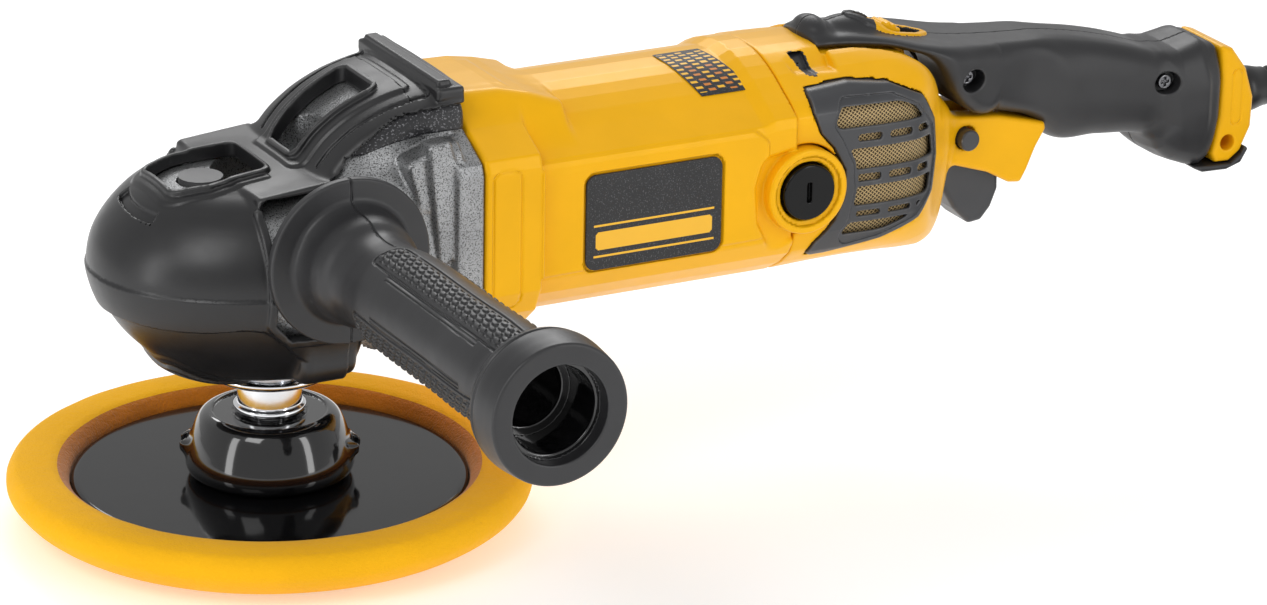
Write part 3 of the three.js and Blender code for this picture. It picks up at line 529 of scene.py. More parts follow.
def blend(t, t0, t1, p, q):
    return (t1 - t) / (t1 - t0) * p + (t - t0) / (t1 - t0) * q


def catmull(points):
    """A smooth curve through the points, as points about 4 mm apart."""
    p = [np.array(q, float) for q in points]
    p = [2 * p[0] - p[1]] + p + [2 * p[-1] - p[-2]]
    out = []
    for a, b, c, d in zip(p, p[1:], p[2:], p[3:]):
        t0, t1 = 0.0, np.linalg.norm(b - a) ** 0.5
        t2 = t1 + np.linalg.norm(c - b) ** 0.5
        t3 = t2 + np.linalg.norm(d - c) ** 0.5
        for t in np.linspace(t1, t2, max(2, int(np.linalg.norm(c - b) / 4)), endpoint=False):
            a1, a2, a3 = blend(t, t0, t1, a, b), blend(t, t1, t2, b, c), blend(t, t2, t3, c, d)
            b1, b2 = blend(t, t0, t2, a1, a2), blend(t, t1, t3, a2, a3)
            out.append(blend(t, t1, t2, b1, b2))
    return out + [p[-2]]


LAST_TURN = math.radians(249)


def coil():
    """Turn after turn of the coil: each moves to its own radius and height over a sector."""
    start, sector, per = math.radians(4), math.radians(170), 84
    ease = lambda t: t * t * (3 - 2 * t)
    out = []
    for k in range(1, len(TURNS)):
        (r0, z0), (r1, z1) = TURNS[k - 1], TURNS[k]
        bulge = 0 if r0 != r1 else (3.5 if r0 > 50 else -3.5)
        last = k == len(TURNS) - 1
        span = 2 * math.pi if not last else LAST_TURN
        for i in range(int(per * span / (2 * math.pi))):
            a = i * 2 * math.pi / per
            t = min(1, a / sector)
            r = r0 + (r1 - r0) * ease(t) + bulge * math.sin(math.pi * t) * (t < 1)
            th = start - a
            out.append(np.array((COIL_X + r * math.cos(th), COIL_Y + r * math.sin(th),
                                 z0 + (z1 - z0) * ease(t))))
    return out


turns = coil()
route = catmull(LEAD)[:-1] + turns + catmull([turns[-1]] + TAIL)[1:]
for _ in range(6):
    middle = [(a + 2 * b + c) / 4 for a, b, c in zip(route, route[1:], route[2:])]
    route = [route[0]] + middle + [route[-1]]
line = bpy.data.curves.new("supply_cord", "CURVE")
line.dimensions = "3D"
spline = line.splines.new("POLY")
spline.points.add(len(route) - 1)
for q, p in zip(spline.points, route):
    q.co = (*(p * MM), 1)
line.bevel_depth = CORD_D / 2 * MM
line.bevel_resolution = 4
line.use_fill_caps = True
line.materials.append(CORD)
cord = bpy.data.objects.new("supply_cord", line)
bpy.context.scene.collection.objects.link(cord)
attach(cord, "tool")
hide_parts("cord_tube", "cord_coil", "cord_tail")


PLUG_X, PLUG_Z = 536, 47


def plug_field(x, y, z):
    body = smax(rect(x, z, PLUG_X, PLUG_Z, 12.6, 10.6, 5), slab(y, -127, -93.4), 3)
    waist = np.abs(y + 108) - 9
    body = cut(body, cut(waist, np.abs(x - PLUG_X) - 11.4, 3), 3)
    for k in range(5):
        body = cut(body, smax(slab(y, -103 - 3.4 * k - 0.8, -103 - 3.4 * k + 0.8),
                              9.6 - np.abs(z - PLUG_Z), 0.5), 0.6)
    sleeve = smax(disc(x, z, PLUG_X, PLUG_Z, 6.6), slab(y, -98, -93.2), 1)
    body = smin(body, sleeve, 2)
    return cut(body, smax(disc(x, z, PLUG_X, PLUG_Z, 4.4), slab(y, -102, -90)), 0.3)


plug = carve("mains_plug", plug_field, (520, -130, 33), (552, -90, 61), 0.6, [CORD])
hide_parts("plug")


def blade_field(x, y, z):
    blade_x = PLUG_X + np.sign(x - PLUG_X) * 6.4
    d = smax(rect(x, z, blade_x, PLUG_Z, 3.1, 0.75, 0.3), slab(y, -143.6, -126.5), 0.8)
    return cut(d, disc(x, y, blade_x, -139, 1.5), 0.3)


blades = carve("plug_blades", blade_field, (525, -146, 44), (547, -124, 50), 0.3, [BRASS])


# ---- pad, plate, hub
def foam():
    """A turned foam ring: round outer edge, hollow-cut inner wall painted darker as painted shade, and
    small dents all over.
    """
    pts = [(0, 0), (40, 0), (68, 0), (77, 1.0, 5), (85, 3.8, 4), (91.4, 8.2, 4), (94.8, 13, 3),
           (94.4, 17.2, 3), (91.6, 20.4, 3), (85, 21.5, 4), (78, 21, 3), (75, 19.4, 2), (72.6, 16.4, 1.2),
           (71.9, 14, 1), (72, 10), (72, 9.6), (0, 9.6)]
    # the inner wall of the recess takes the darker foam: painted shade
    o = turned("pad_foam", pts, [FOAM, FOAM_CUT_SHADED], "spindle_group", r=2, n=260, steps=6,
               bands=[lambda r, h: (r < 76.2) & (h > 9)])
    rng = np.random.default_rng(7)
    k = rng.normal(0, 1, (40, 3)) * 0.16
    ph = rng.uniform(0, 6.28, 40)
    co = np.empty(len(o.data.vertices) * 3, np.float32)
    o.data.vertices.foreach_get("co", co)
    co = co.reshape(-1, 3) / MM
    w = np.sin(co @ k.T + ph).mean(1) * 1.5
    top = unit((co[:, 2] - 1.5) / 6)
    out = co[:, :2] / np.maximum(np.hypot(co[:, 0], co[:, 1]), 1)[:, None]
    co[:, 2] += 0.35 * w * top
    far = np.hypot(co[:, 0], co[:, 1]) > 76
    co[:, :2] -= out * (0.25 * np.abs(w) * top * far)[:, None]
    o.data.vertices.foreach_set("co", (co * MM).ravel())
    o.data.update()
    return o


pad = foam()
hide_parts("foam_pad")

plate = turned("plate_disc", [(0, 11.4), (71.2, 11.4), (71.6, 12.4, 0.6), (71.2, 15.1, 0.8),
                              (69.5, 15.6, 1), (0, 15.3)], [DISC], "spindle_group", r=0.5, n=220)
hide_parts("backing_plate")


EAR_TURN = math.radians(28)


def hub_field(x, y, z):
    r = np.hypot(x, y)
    wall = curve([(15, 27.2), (17.5, 29.4), (20, 30.4), (23, 30.3), (28, 29.2), (33, 27.6), (37, 25.8),
                  (41, 23)])
    d = above(r, z, wall)
    d = meet(2.6, d, z - 40, 15.9 - z)
    d = cut(d, smax(disc(x, y, 0, 0, 20.4), 39.1 - z), 0.8)
    # two ears with a slot in each
    c, s = math.cos(EAR_TURN), math.sin(EAR_TURN)
    u, v = x * c - y * s, x * s + y * c
    ear = smax(rect(u, v, 0, 0, 33.2, 6.5, 6), slab(z, 24, 28.6), 2)
    d = smin(d, ear, 3)
    slot = smax(rect(np.abs(u), v, 31.5, 0, 3, 3.2, 2), slab(z, 22, 31))
    d = cut(d, cut(slot, r - 29.2), 0.6)
    return cut(d, smax(r - 13.4, 38.6 - z), 0.5)


hub = carve("plate_hub", hub_field, (-36, -36, 14), (36, 36, 42), 0.7, [BLACK], "spindle_group")
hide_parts("hub")

post = turned("spindle_post", [(0, 20), (8, 20), (8, 40.2), (12.9, 40.2), (13.2, 41.2, 0.5), (13, 42.5),
                               (11.8, 42.9, 0.2), (11.6, 43.4, 0.2), (11.6, 56.3), (9.8, 56.7),
                               (9.8, 68.2), (9, 68.3), (9, 108), (6, 108.4), (6, 119), (5, 120),
                               (0, 120)], [CHROME], "spindle_group", r=0.3, n=96)
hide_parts("spindle")
ringp = turned("bearing_cover", [(12.2, 53.4), (14, 53.2), (20, 53.6), (22.9, 55.2), (23, 56.8), (20, 57),
                                 (12.2, 57), (12.2, 53.4)], [CHROME], r=0.5, n=96)
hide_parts("bearing_retainer")

# ---- sections across the body, as (distance from the mid plane, height)
DOME = [(8, 150.7), (14, 149.3), (20, 147.2), (26, 144.4), (32, 140.8)]
BODY = outline([(-30, 151.4), (0, 151.3)] + DOME
               + [(43.6, 134.2), (44.2, 131), (44.2, 90), (40, 83), (33, 77), (24, 71.6), (12, 68.6),
                  (0, 67.8), (-30, 67.8)], 1)
COLLAR = outline([(-30, 155.4), (0, 155.4), (14, 154.8), (24, 151), (32, 146), (46.6, 138.4), (48.4, 134),
                  (48.4, 88), (44, 79), (34, 70.5), (22, 65.6), (10, 63.6), (0, 63.2), (-30, 63.2)], 1.2)

# ---- gear head
SOCKET_X, SOCKET_Z = 4, 115
GIRTH = curve([(50, 0.05), (54, 0.3), (57.5, 0.47), (61, 0.6), (65, 0.685), (70, 0.765), (76, 0.845),
               (82, 0.905), (88, 0.95), (95, 0.985), (101, 1.0), (106, 0.995), (112, 0.97), (118, 0.92),
               (123, 0.86), (128, 0.78), (132, 0.7), (136, 0.56), (141, 0.2)])
RIDGE = curve([(-30, 100), (-12, 113), (0, 127), (5, 134.5), (8, 139), (12, 144), (20, 150.8),
               (30, 156.2), (45, 160.8), (54, 162.2), (70, 162.6)])
FALL = curve([(-1, 0), (0, 0), (12, 0.15), (20, 0.8), (27, 2.2), (33, 4.6), (38, 8), (46, 16)])
SADDLE = curve([(-14, 122), (2, 128), (9, 134), (13.5, 137.8), (24.5, 143.6), (34.5, 146), (46.5, 147.6),
                (62.5, 147.8), (70, 148)])


def bowl(x, y, z, o):
    q = np.hypot((x - 5) / 72, y / 55.5)
    reach = np.hypot(x - 5, y) / np.maximum(q, 1e-3)
    reach = np.where(q < 0.02, 60, reach)
    d = (q - GIRTH[0](z)) * reach / np.sqrt(1 + (GIRTH[1](z) * reach) ** 2) - o
    deck = 135.6 + o - 0.0012 * (x + 22) ** 2 * (x < -22) - 0.0016 * y * y
    return meet(7, smax(d, z - deck, 9), 57 - o - z)


def arch(x, y, z, o):
    a = np.abs(y)
    d = (z - RIDGE[0](x) + FALL[0](a) - o) / np.sqrt(1 + RIDGE[1](x) ** 2 + FALL[1](a) ** 2)
    wide = 33.4 + 2.4 * unit((x - 20) / 38) - 5 * unit((8 - x) / 16) ** 2
    return meet(3.5, d, a - wide - o, x - 62 - o, -12 - x, 112 - z)


def neck(x, y, z, o):
    d = meet(8, rect(y, z, 0, 106, 45 + o, 43 + o, 14), slab(x, -6, 61.6 + o))
    roof = above(z, x, SADDLE)
    slope = (np.abs(y) - 33.5 - o) * 0.8 + (z - 144 - o) * 0.6
    return meet(4, d, roof + 1.5, slope, 70 - 0.16 * (x - 10) - z - o)


def case_field(x, y, z):
    core = smin(bowl(x, y, z, -4.2), smin(neck(x, y, z, -3.2), arch(x, y, z, -3.8), 4), 5)
    flange = smax(COLLAR(np.abs(y), z) + 0.8, slab(x, 51.5, 61.9), 1.2)
    core = smin(core, flange, 2.5)
    boss = smax(disc(x, z, SOCKET_X, SOCKET_Z, 17 - 0.45 * np.clip(np.abs(y) - 42, 0, 12)),
                np.abs(y) - 53, 1.2)
    core = smin(core, boss, 3)
    # upright rib and the screw bosses ahead of the flange
    rib = smax(outline([(41, 146.6), (50, 147.6), (57, 108), (46, 100)], 2)(x, z),
               slab(np.abs(y), 37, 45.4), 1.5)
    web = smax(outline([(34, 140), (52, 145.5), (52, 128), (40, 120)], 3)(x, z),
               slab(np.abs(y), 32, 42.4), 2)
    core = join(2, core, rib, web)
    for sy, sz in ((38, 139), (38, 79.5)):
        lug = smax(disc(np.abs(y), z, sy, sz, 6.4), slab(x, 46.8, 55), 1)
        core = smin(core, lug, 2)
        core = cut(core, smax(disc(np.abs(y), z, sy, sz, 4.6), slab(x, 46, 51.3)), 0.5)
    core = cut(core, smax(disc(x, y, -26, 0, 8.4), 121 - z), 0.4)
    hollow = meet(3, np.hypot(x, y) - 45, slab(z, 50, 120))
    core = cut(core, smin(hollow, np.hypot(x, y) - 20.4), 0.5)
    core = cut(core, smax(rect(y, z, 0, 92, 30, 29, 8), slab(x, -4, 70)), 1)
    return cut(core, smax(disc(x, z, SOCKET_X, SOCKET_Z, 5), 24 - np.abs(y)), 0.4)


case = carve("alloy_gear_case", case_field, (-67, -56, 55), (64, 56, 166), 0.95, [ALLOY])
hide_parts("gear_case")

LIP = curve([(-80, 87), (-40, 88.2), (-28, 89.4), (-23, 88.6), (-16.5, 84.2), (-9.5, 76.8), (-4.8, 73.8),
             (0, 73), (30, 73)])
HEM = curve([(-14, 122), (2, 127), (10.5, 135), (16.5, 142), (24.5, 148), (35.5, 154), (47.5, 156),
             (62, 157), (70, 157.4)])


def boot_outer(x, y, z):
    b = bowl(x, y, z, 0)
    low = LIP[0](x) - z
    b = b + 2.0 * unit(low + 0.5) + 0.7 * unit(z - 100.6)
    a = arch(x, y, z, 0)
    side = meet(4, slab(x, -8, 15), rect(y, z, 0, 96, 48, 33, 10), 63 - z)
    shelf = meet(2, slab(x, -20, 10), np.abs(y) - 36.5, slab(z, 124, 134.4 + 0.09 * (x + 8)))
    return join(2.5, smin(b, a, 2.2), side, shelf)


def boot_field(x, y, z):
    d = boot_outer(x, y, z)
    inner = join(3, bowl(x, y, z, -3.6), arch(x, y, z, -3.4))
    a = np.abs(y)
    # raised rims round the two windows
    w1 = outline([(-42, -13), (-42, 13), (-30, 17), (-7, 15), (-7, -15), (-30, -17)], 4)(x, y)
    w2 = outline([(5, -10), (5, 10), (35, 13), (35, -13)], 3)(x, y)
    plateau = outline([(1, -17), (1, 17), (47, 21), (47, -21)], 4)(x, y)
    d = raised(d, plateau, 1.1, 1.2)
    d = raised(d, meet(0.5, w1 - 5.0, z - 139, x + 8), 0.8, 1.0)
    d = raised(d, meet(0.5, w1 - 2.0, z - 139, x + 4.4), 1.7, 0.6)
    d = raised(d, w2 - 2.0, 1.6, 0.6)
    # turning-direction mark, as a plain curved groove
    arc = np.hypot(x + 20, y + 2)
    band = meet(0.3, np.abs(arc - 33) - 1.7, np.abs(np.arctan2(y + 2, -(x + 20))) * 33 - 14, 116 - z)
    d = sunk(d, band, 1.6, 0.6)
    # groove along the arch
    d = sunk(d, smax(np.abs(a - 24.5 - 0.09 * (x - 20)) - 0.8, 8 - x), 1.0, 0.5)
    # slot below the edge of the deck, over the socket
    d = sunk(d, smax(rect(x, z, -6, 129.2, 10, 1.8, 1), 30 - a), 2.2, 0.5)
    # folded edge of the arch; the grained band starts under it
    hem = above(z, x, HEM)
    d = sunk(d, meet(0.5, hem, 27 - a, 9 - x), 1.3, 0.5)
    d = sunk(d, smax(rect(x, y, 46.5, 0, 3.2, 27, 1.5), 150 - z), 0.8, 0.5)
    # rear ledge with its cross bar
    bar = smax(rect(x, z, 54.2, 162.4, 2.7, 2.6, 1.0), a - 30.5, 1.2)
    ledge = smax(rect(x, z, 55.6, 160.4, 5.4, 2.4, 1.2), a - 33.5, 2)
    d = join(1.5, d, bar, ledge)
    # hollow inside, with the windows and the shaft opening through it
    d = cut(d, inner, 0.4)
    d = cut(d, smax(w1, 118 - z), 0.6)
    d = cut(d, smax(w2, 128 - z), 0.6)
    d = cut(d, smax(disc(x, y, 0, 0, 23.4), z - 75), 0.8)
    # open flanks: the alloy shows between the arch's skirt and the bowl's rear edge
    flank = outline([(-19, 132.4), (-20, 92), (-14, 85), (15.5, 85), (20, 60), (90, 60), (90, 147.4),
                     (46.5, 147.2), (34.5, 145.4), (24.5, 143), (13.5, 137), (2, 133)], 3)(x, z)
    d = raised(d, meet(1, flank - 3.0, 36 - a, x - 14, z - 130), 1.2, 0.7)
    bite = meet(1.2, flank, 26 - a)
    d = cut(d, bite, 0.8)
    d = cut(d, meet(0.8, slab(x, 15, 70), slab(z, 60, 142), 30 - a), 0.8)
    d = cut(d, smax(slab(x, 22, 80), z - 90), 0.8)
    return cut(d, smax(disc(x, z, SOCKET_X, SOCKET_Z, 17.5), 20 - a), 0.5)


def grained(x, y, z):
    return ((above(z, x, HEM) < -0.7) & (np.abs(y) > 27) & (x > 9) & (z > 134)).astype(int)


boot = carve("rubber_boot", boot_field, (-70, -58, 54), (65, 58, 168), 0.8, [RUBBER, GRAINY],
             pick=grained)
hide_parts("gear_case_boot")

# ---- motor housing
BORE_Z = 109.2
CAP_X, CAP_Z = 193.5, 108
LABEL_X, LABEL_Z = 131, 108.5
HUMP = 2.2


def motor_field(x, y, z):
    a = np.abs(y)
    r = np.hypot(x - CAP_X, z - CAP_Z)
    collar = meet(1.4, COLLAR(a, z), slab(x, 62.3, 84.6))
    lift = HUMP * unit((x - 176) / 5) * unit((z - 120) / 20)
    body = meet(0.8, BODY(a, z - lift), slab(x, 80, 190.0))
    crown = meet(3, outline([(62.3, 130), (62.3, 156.4), (80, 155.8), (91, 153.4), (103, 149.6),
                             (103, 130)], 2)(x, z), a - 22 - 0.8 * (156 - z))
    d = join(2.2, smin(collar, body, 0.8), crown)
    # flat raised panel with the label's seat, and a fine frame on the collar
    panel = outline([(84, 133.6), (172, 133.6), (178, 129), (178, 92), (84, 90.6)], 3)(x, z)
    d = raised(d, smax(panel, 20 - a), 0.8, 0.7)
    d = sunk(d, smax(rect(x, z, LABEL_X, LABEL_Z, 28.4, 19.0, 5), 20 - a), 1.3, 0.4)
    frame_line = np.abs(rect(x, z, 70.6, 108, 5.6, 26, 3)) - 0.3
    d = sunk(d, smax(frame_line, 20 - a), 0.5, 0.4)
    # scooped hollow ahead of each brush boss
    hollow = outline([(176, 122), (192, 124), (193, 92), (181, 85), (174, 98), (173, 112)], 5)(x, z)
    d = cut(d, meet(1.5, hollow, 42.2 - a), 2.0)
    d = smin(d, meet(1.2, r - 16.2, a - 47, 30 - a), 1.0)
    for radius, bottom in ((13.2, 45.8), (11.2, 36)):
        d = cut(d, smax(r - radius, bottom - a), 0.4)
    d = smax(d, smin(x - 190, smax(r - 16.6, 30 - a), 0.1), 0.3)
    bore = meet(0.5, np.hypot(y, z - BORE_Z) - 38.4 - 2.2 * unit(99.5 - x), slab(x, 0, 215))
    return cut(d, smin(bore, smax(r - 8.4, 20 - a)), 0.3)


motor = carve("motor_shell", motor_field, (60, -50, 60), (212, 50, 164), 0.95, [YELLOW])
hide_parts("motor_housing")

# ---- rear housing and vents
TOPLINE = curve([(180, 153.8), (190, 153.8), (206, 153.2), (216, 152.2), (230, 151), (242, 148.4),
                 (252, 143), (261, 135.5), (266, 127), (272, 121), (280, 116)])
BELLY = curve([(180, 66), (190, 66.4), (209, 68.5), (225, 68.6), (236, 67.6), (246, 65.4), (256, 66.2),
               (263, 71.5), (268, 79), (272, 90), (277, 104)])
FLANK = curve([(180, 44.4), (190, 44.4), (215, 44.0), (232, 42.2), (244, 38.6), (253, 33), (260, 26),
               (267, 20), (277, 15.6)])
BEAK = outline([(258, 117), (294, 113.2), (314.6, 107.6), (315, 105), (311, 98.4), (307.4, 90),
                (304.6, 85), (299.5, 85.6), (290, 91), (276, 95.6), (258, 98)], 1.4)
VENT_EDGE = outline([(198, 142.6), (216, 143.4), (232, 141.6), (245.6, 135.5), (254, 124), (257, 109),
                     (253.8, 96), (245.4, 88), (228, 83), (205, 80), (196.6, 80), (199.6, 86), (207, 94),
                     (211, 103), (211, 113), (206, 122), (200.6, 128), (197.5, 136)], 2)
VENT_FACE = outline([(210, 138.6), (231, 137.4), (242, 132), (250.8, 122), (253.8, 109), (250.8, 97),
                     (243, 90.6), (226, 86), (207, 83.6), (214, 93), (216.4, 104), (215.6, 115),
                     (210.6, 125), (206.6, 131)], 3)


def rear_outer(x, y, z, o=0.0):
    a = np.abs(y)
    belly = -above(z, x, BELLY)
    flank = above(a, x, FLANK)
    tube = BODY(a, z - HUMP * unit((z - 120) / 20)) - 0.2
    return meet(8, smax(above(z, x, TOPLINE), tube, 4), belly, flank, x - 276.5) - o


# outline of the slot in the scoop; its floor is painted dark as painted shade
NOTCH = outline([(200.5, 151), (207, 150.2), (206.4, 145.4), (202.6, 146)], 0.6)


def rear_field(x, y, z):
    a = np.abs(y)
    r = np.hypot(x - CAP_X, z - CAP_Z)
    d = smax(rear_outer(x, y, z), 190.3 - x, 0.8)
    # three-sided scoop with a slot in it, high on each flank; the slot is shallow and painted dark, painted
    # shade for its depth
    cheek = meet(1.0, outline([(194, 159), (217, 154), (215.4, 145.5), (198, 146.5)], 1.2)(x, z), 13 - a)
    scoop = smax(cheek, (14.5 + 0.3 * (215 - x) + 1.3 * (150 - z) - a) / 1.66, 0.8)
    d = cut(d, scoop, 1.0)
    d = sunk(d, smax(NOTCH(x, z), 10 - a), 1.6, 0.4)
    d = cut(d, smax(r - 17.0, 28 - a), 0.6)
    d = cut(d, smax(VENT_EDGE(x, z) - 0.3, 8 - a), 0.3)
    beak = meet(2.2, BEAK(x, z), a - 14.8)
    d = smin(d, beak, 3)
    mouth = outline([(262, 84), (304, 70), (301.4, 92), (289, 103), (262, 105)], 1)(x, z)
    d = cut(d, smax(mouth, a - 12.2, 1), 0.6)
    well = outline([(270, 100), (300, 100), (311, 106), (300, 118), (262, 122)], 1)(x, z)
    d = cut(d, meet(0.5, well, a - 6, x - 300), 0.5)
    # step where the rubber tongue and the grip sit
    seat = outline([(214.6, 175), (214.6, 148.8), (229, 147.8), (248, 145.4), (263.0, 137.6),
                    (269.0, 127.4), (279, 117.2), (294, 113.8), (330, 107.6), (330, 175)], 1)(x, z)
    d = cut(d, smax(seat, a - (16.8 + 9 * unit((x - 228) / 30)), 1), 0.5)
    inside = meet(0.4, rear_outer(x, y, z, -3.2), x - 266, 2.6 - scoop, 2.6 - smax(seat, a - 24))
    d = cut(d, inside, 0.5)
    return cut(d, smax(np.hypot(x - 279.2, z - 106.6) - 4.6, 9 - a), 0.4)


# the slot's floor takes the dark plastic: painted shade
rear = carve("rear_shell", rear_field, (188, -50, 60), (318, 50, 160), 0.85, [YELLOW, DARK],
             pick=lambda x, y, z: ((NOTCH(x, z) < 0.4) & (np.abs(y) > 10)).astype(int))
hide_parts("rear_housing")

BANDS = [(131.5, 4.0), (115.2, 4.0), (100.8, 3.6), (88.6, 2.2)]
RIBS = [(123.3, 1.4), (107.8, 1.4), (94.0, 1.0)]


def vent_field(x, s, z):
    skin = cut(rear_outer(x, s, z, 1.2), rear_outer(x, s, z, -1.6))
    edge = VENT_EDGE(x, z)
    skirt = meet(0.3, rear_outer(x, s, z, -1.0), -rear_outer(x, s, z, -6), edge, -edge - 1.6, 10 - s)
    d = smin(meet(0.8, skin, edge, 6 - s), skirt, 0.4)
    d = sunk(d, smax(VENT_FACE(x, z) - 1.3, 6 - s), 0.7, 0.5)
    lean = z + 0.045 * (x - 232)
    for zc, h in BANDS:
        d = cut(d, meet(1.6, np.abs(lean - zc) - h, VENT_FACE(x, z), 4 - s), 0.5)
    for zc, h in RIBS:
        for xc, w in ((221.5, 5.2), (235.5, 5.2), (247, 3.0)):
            hole = rect(x, lean, xc, zc, w, h, min(h, 1.25))
            d = cut(d, meet(0.5, hole, VENT_FACE(x, z) + 0.8, 4 - s), 0.4)
    return d


def gauze_field(x, s, z):
    skin = cut(rear_outer(x, s, z, -1.9), rear_outer(x, s, z, -3.1))
    return meet(0.2, skin, VENT_EDGE(x, z) + 1.4, 6 - s)


for label, sign in SIDES:
    lo, hi = box_on(sign, (194, 8, 76), (262, 49, 147))
    o = carve("vent_frame_" + label, mirrored(vent_field, sign), lo, hi, 0.55, [GREY])
    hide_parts("vent_cover_" + label)
    o = carve("vent_gauze_" + label, mirrored(gauze_field, sign), lo, hi, 0.6, [MESH])
    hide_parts("vent_mesh_" + label)

# ---- rear grip
CREST = curve([(200, 152), (214, 153), (228, 153), (240, 151.4), (256, 147.6), (280, 143.2), (302, 141.2),
               (315, 140.4), (330, 138), (350, 133.2), (364, 128.8), (372, 126.6), (379, 127.6),
               (386, 129), (391.4, 127.8), (400, 124)])
SOLE = curve([(200, 149.2), (230, 148.2), (249, 145.8), (263.4, 138), (269.6, 127.8), (279, 118),
              (294, 114.3), (312, 107.4), (320, 99.6), (340, 97.2), (356, 95.8), (361.6, 94.5),
              (366, 88.4), (374, 84)])
WIDE = curve([(200, 12), (216, 14.2), (232, 16.4), (246, 20), (258, 23.6), (268, 23.8), (282, 20.4),
              (298, 18.2), (330, 17.8), (352, 18.2), (366, 17.8), (376, 18.4), (386, 18.4), (394, 17)])
END_OUT = outline([(366, 127.2), (374, 126.4), (380, 127.6), (386, 129), (391.2, 127.8), (392.4, 113),
                   (392.2, 100), (389.4, 83.6), (385.8, 79.2), (380, 80.4), (371, 84.8), (364, 90.2),
                   (361.9, 95.6), (370, 100)], 2)
SCREWS = ((278, 131), (366.5, 117))
eye = outline([(235, 0), (240, -4.6), (252, -5.4), (262, -3.6), (267, 0), (262, 3.6), (252, 5.4),
               (240, 4.6)], 1.2)


def eye_rim(x, y, z):
    return ((eye(x, y) < 2.9) & (eye(x, y) > 0.25) & (z > 141.5) & (x > 243)).astype(int)


def grip_field(half):
    def f(x, y, z):
        a = np.abs(y)
        top, sole = above(z, x, CREST), -above(z, x, SOLE)
        flank = above(a, x, WIDE)
        body = meet(1.0, smax(meet(1.5, top, sole), flank, 6), x - 384, 214.4 - x)
        off_mid = np.abs(z - (CREST[0](x) + SOLE[0](x)) / 2 - 2)
        round_off = (a + 0.8 * off_mid) / 1.28 - 23.2 - 20 * unit((292 - x) / 20)
        body = smax(body, round_off, 7)
        end = meet(5, END_OUT(x, z), a - 18.4)
        end = smax(end, (a + 0.55 * np.abs(z - 104)) / 1.14 - 24.4, 5)
        d = smin(body, end, 5)
        # two swells on the tongue, the front one across it
        big = (np.sqrt(((x - 234) / 1.5) ** 2 + y**2 + ((z - 148.4) * 1.2) ** 2) - 10.2) * 0.8
        small = (np.sqrt(((x - 219) / 0.9) ** 2 + (y / 1.5) ** 2 + ((z - 152.4) * 1.05) ** 2) - 6.6) * 0.7
        d = join(2.4, d, smax(big, 149 - z), smax(small, 151 - z))
        # thumb facet and the screw wells
        d = cut(d, np.sqrt(((x - 308) / 1.15) ** 2 + ((z - 125) / 2.1) ** 2 + (a - 50) ** 2) - 33.4, 2)
        for sx, sz in SCREWS:
            d = cut(d, smax(np.hypot((x - sx) * 0.8, z - sz) - 4.3, y + 13.4), 0.7)
        d = raised(d, meet(0.6, eye(x, y) - 2.6, 140 - z), 0.9, 0.6)
        d = cut(d, meet(0.5, eye(x, y), 128 - z), 0.5)
        d = cut(d, smax(np.hypot(y, z - CORD_Z) - 6.4, 376 - x), 0.4)
        hollow = meet(2, top + 5, sole + 5, a - 12.2, slab(x, 284, 379))
        d = cut(d, hollow, 0.5)
        return smax(d, 0.1 - half * y, 0.35)
    return f


for label, half in SIDES:
    lo, hi = box_on(half, (206, -1.5, 70), (402, 30, 166))
    o = carve("grip_half_" + label, grip_field(half), lo, hi, 0.68, [SOFT, YELLOW], pick=eye_rim)
    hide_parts("rear_grip_" + label)


def strip_field(x, y, z):
    tube = np.hypot(y, z - CORD_Z)
    d = meet(2.6, outline([(392.4, 127.6), (398, 125.8), (404.6, 117), (408.5, 105), (408.1, 93),
                           (403.6, 83.6), (398.6, 80), (392.2, 80.2), (390.4, 84), (393.0, 100),
                           (393.2, 114)], 1.5)(x, z), np.abs(y) - 15.6)
    d = cut(d, tube - 8.4, 0.8)
    d = cut(d, smax(np.hypot(x - 397.2, z - 88) - 3.1, np.abs(y) - 30), 0.8)
    return sunk(d, smax(np.abs(rect(x, z, 400.4, 106, 2.2, 11, 2)) - 0.3, 10 - np.abs(y)), 0.4, 0.3)


strip = carve("rear_edge_strip", strip_field, (388, -18, 76), (411, 18, 130), 0.55, [YELLOW])
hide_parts("end_strip")


def guard_field(x, y, z):
    return meet(1.2, outline([(380, 80.6), (386, 77.6), (397, 77.2), (403.4, 79.2), (406.6, 84.4),
                              (405.2, 85.8), (403.4, 82.6), (398.8, 79.4), (390, 79.8)], 0.6)(x, z),
                np.abs(y) - 16.4)


guard = carve("grip_hook", guard_field, (377, -20, 74), (410, 20, 88), 0.5, [SOFT])


# ---- trigger, buttons, dial
def trigger_field(x, y, z):
    a = np.abs(y)
    profile = outline([(266.8, 105.6), (272, 107), (287, 98), (297.8, 90), (298.0, 82), (295.2, 75),
                       (291, 70.2), (285.6, 69.6), (279, 76.2), (273, 86), (270.4, 96), (266.8, 100)],
                      2)(x, z)
    d = meet(2.2, profile, a - 9.4)
    return cut(d, np.hypot(x - 262, (z - 72) * 0.8) - 16 + 0.25 * a, 1.5)


lever = carve("trigger_lever_face", trigger_field, (264, -11, 68), (301, 11, 109), 0.55, [GREY],
              "trigger_lever")
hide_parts("trigger")
knob = turned("lock_on_cap", [(0, 12.3), (3.9, 12.3), (4.1, 18.4, 0.5), (3.4, 19.0, 0.6), (0, 18.6)],
              [GREY], "lock_on", axis="-y", at=(279, 0, 106.5), r=0.3, n=48)
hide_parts("lock_on_button")


DIAL_X, DIAL_Z = 247, 142


def dial_field(x, y, z):
    r, th = np.hypot(x - DIAL_X, z - DIAL_Z), np.arctan2(z - DIAL_Z, x - DIAL_X)
    d = meet(0.7, r - 11.0 - 0.35 * np.cos(th * 26), np.abs(y) - 3.9)
    return cut(d, r - 2.2, 0.2)


wheel = carve("speed_wheel", dial_field, (234, -5, 129), (260, 5, 155), 0.45, [YELLOW], "dial")
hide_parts("speed_dial")

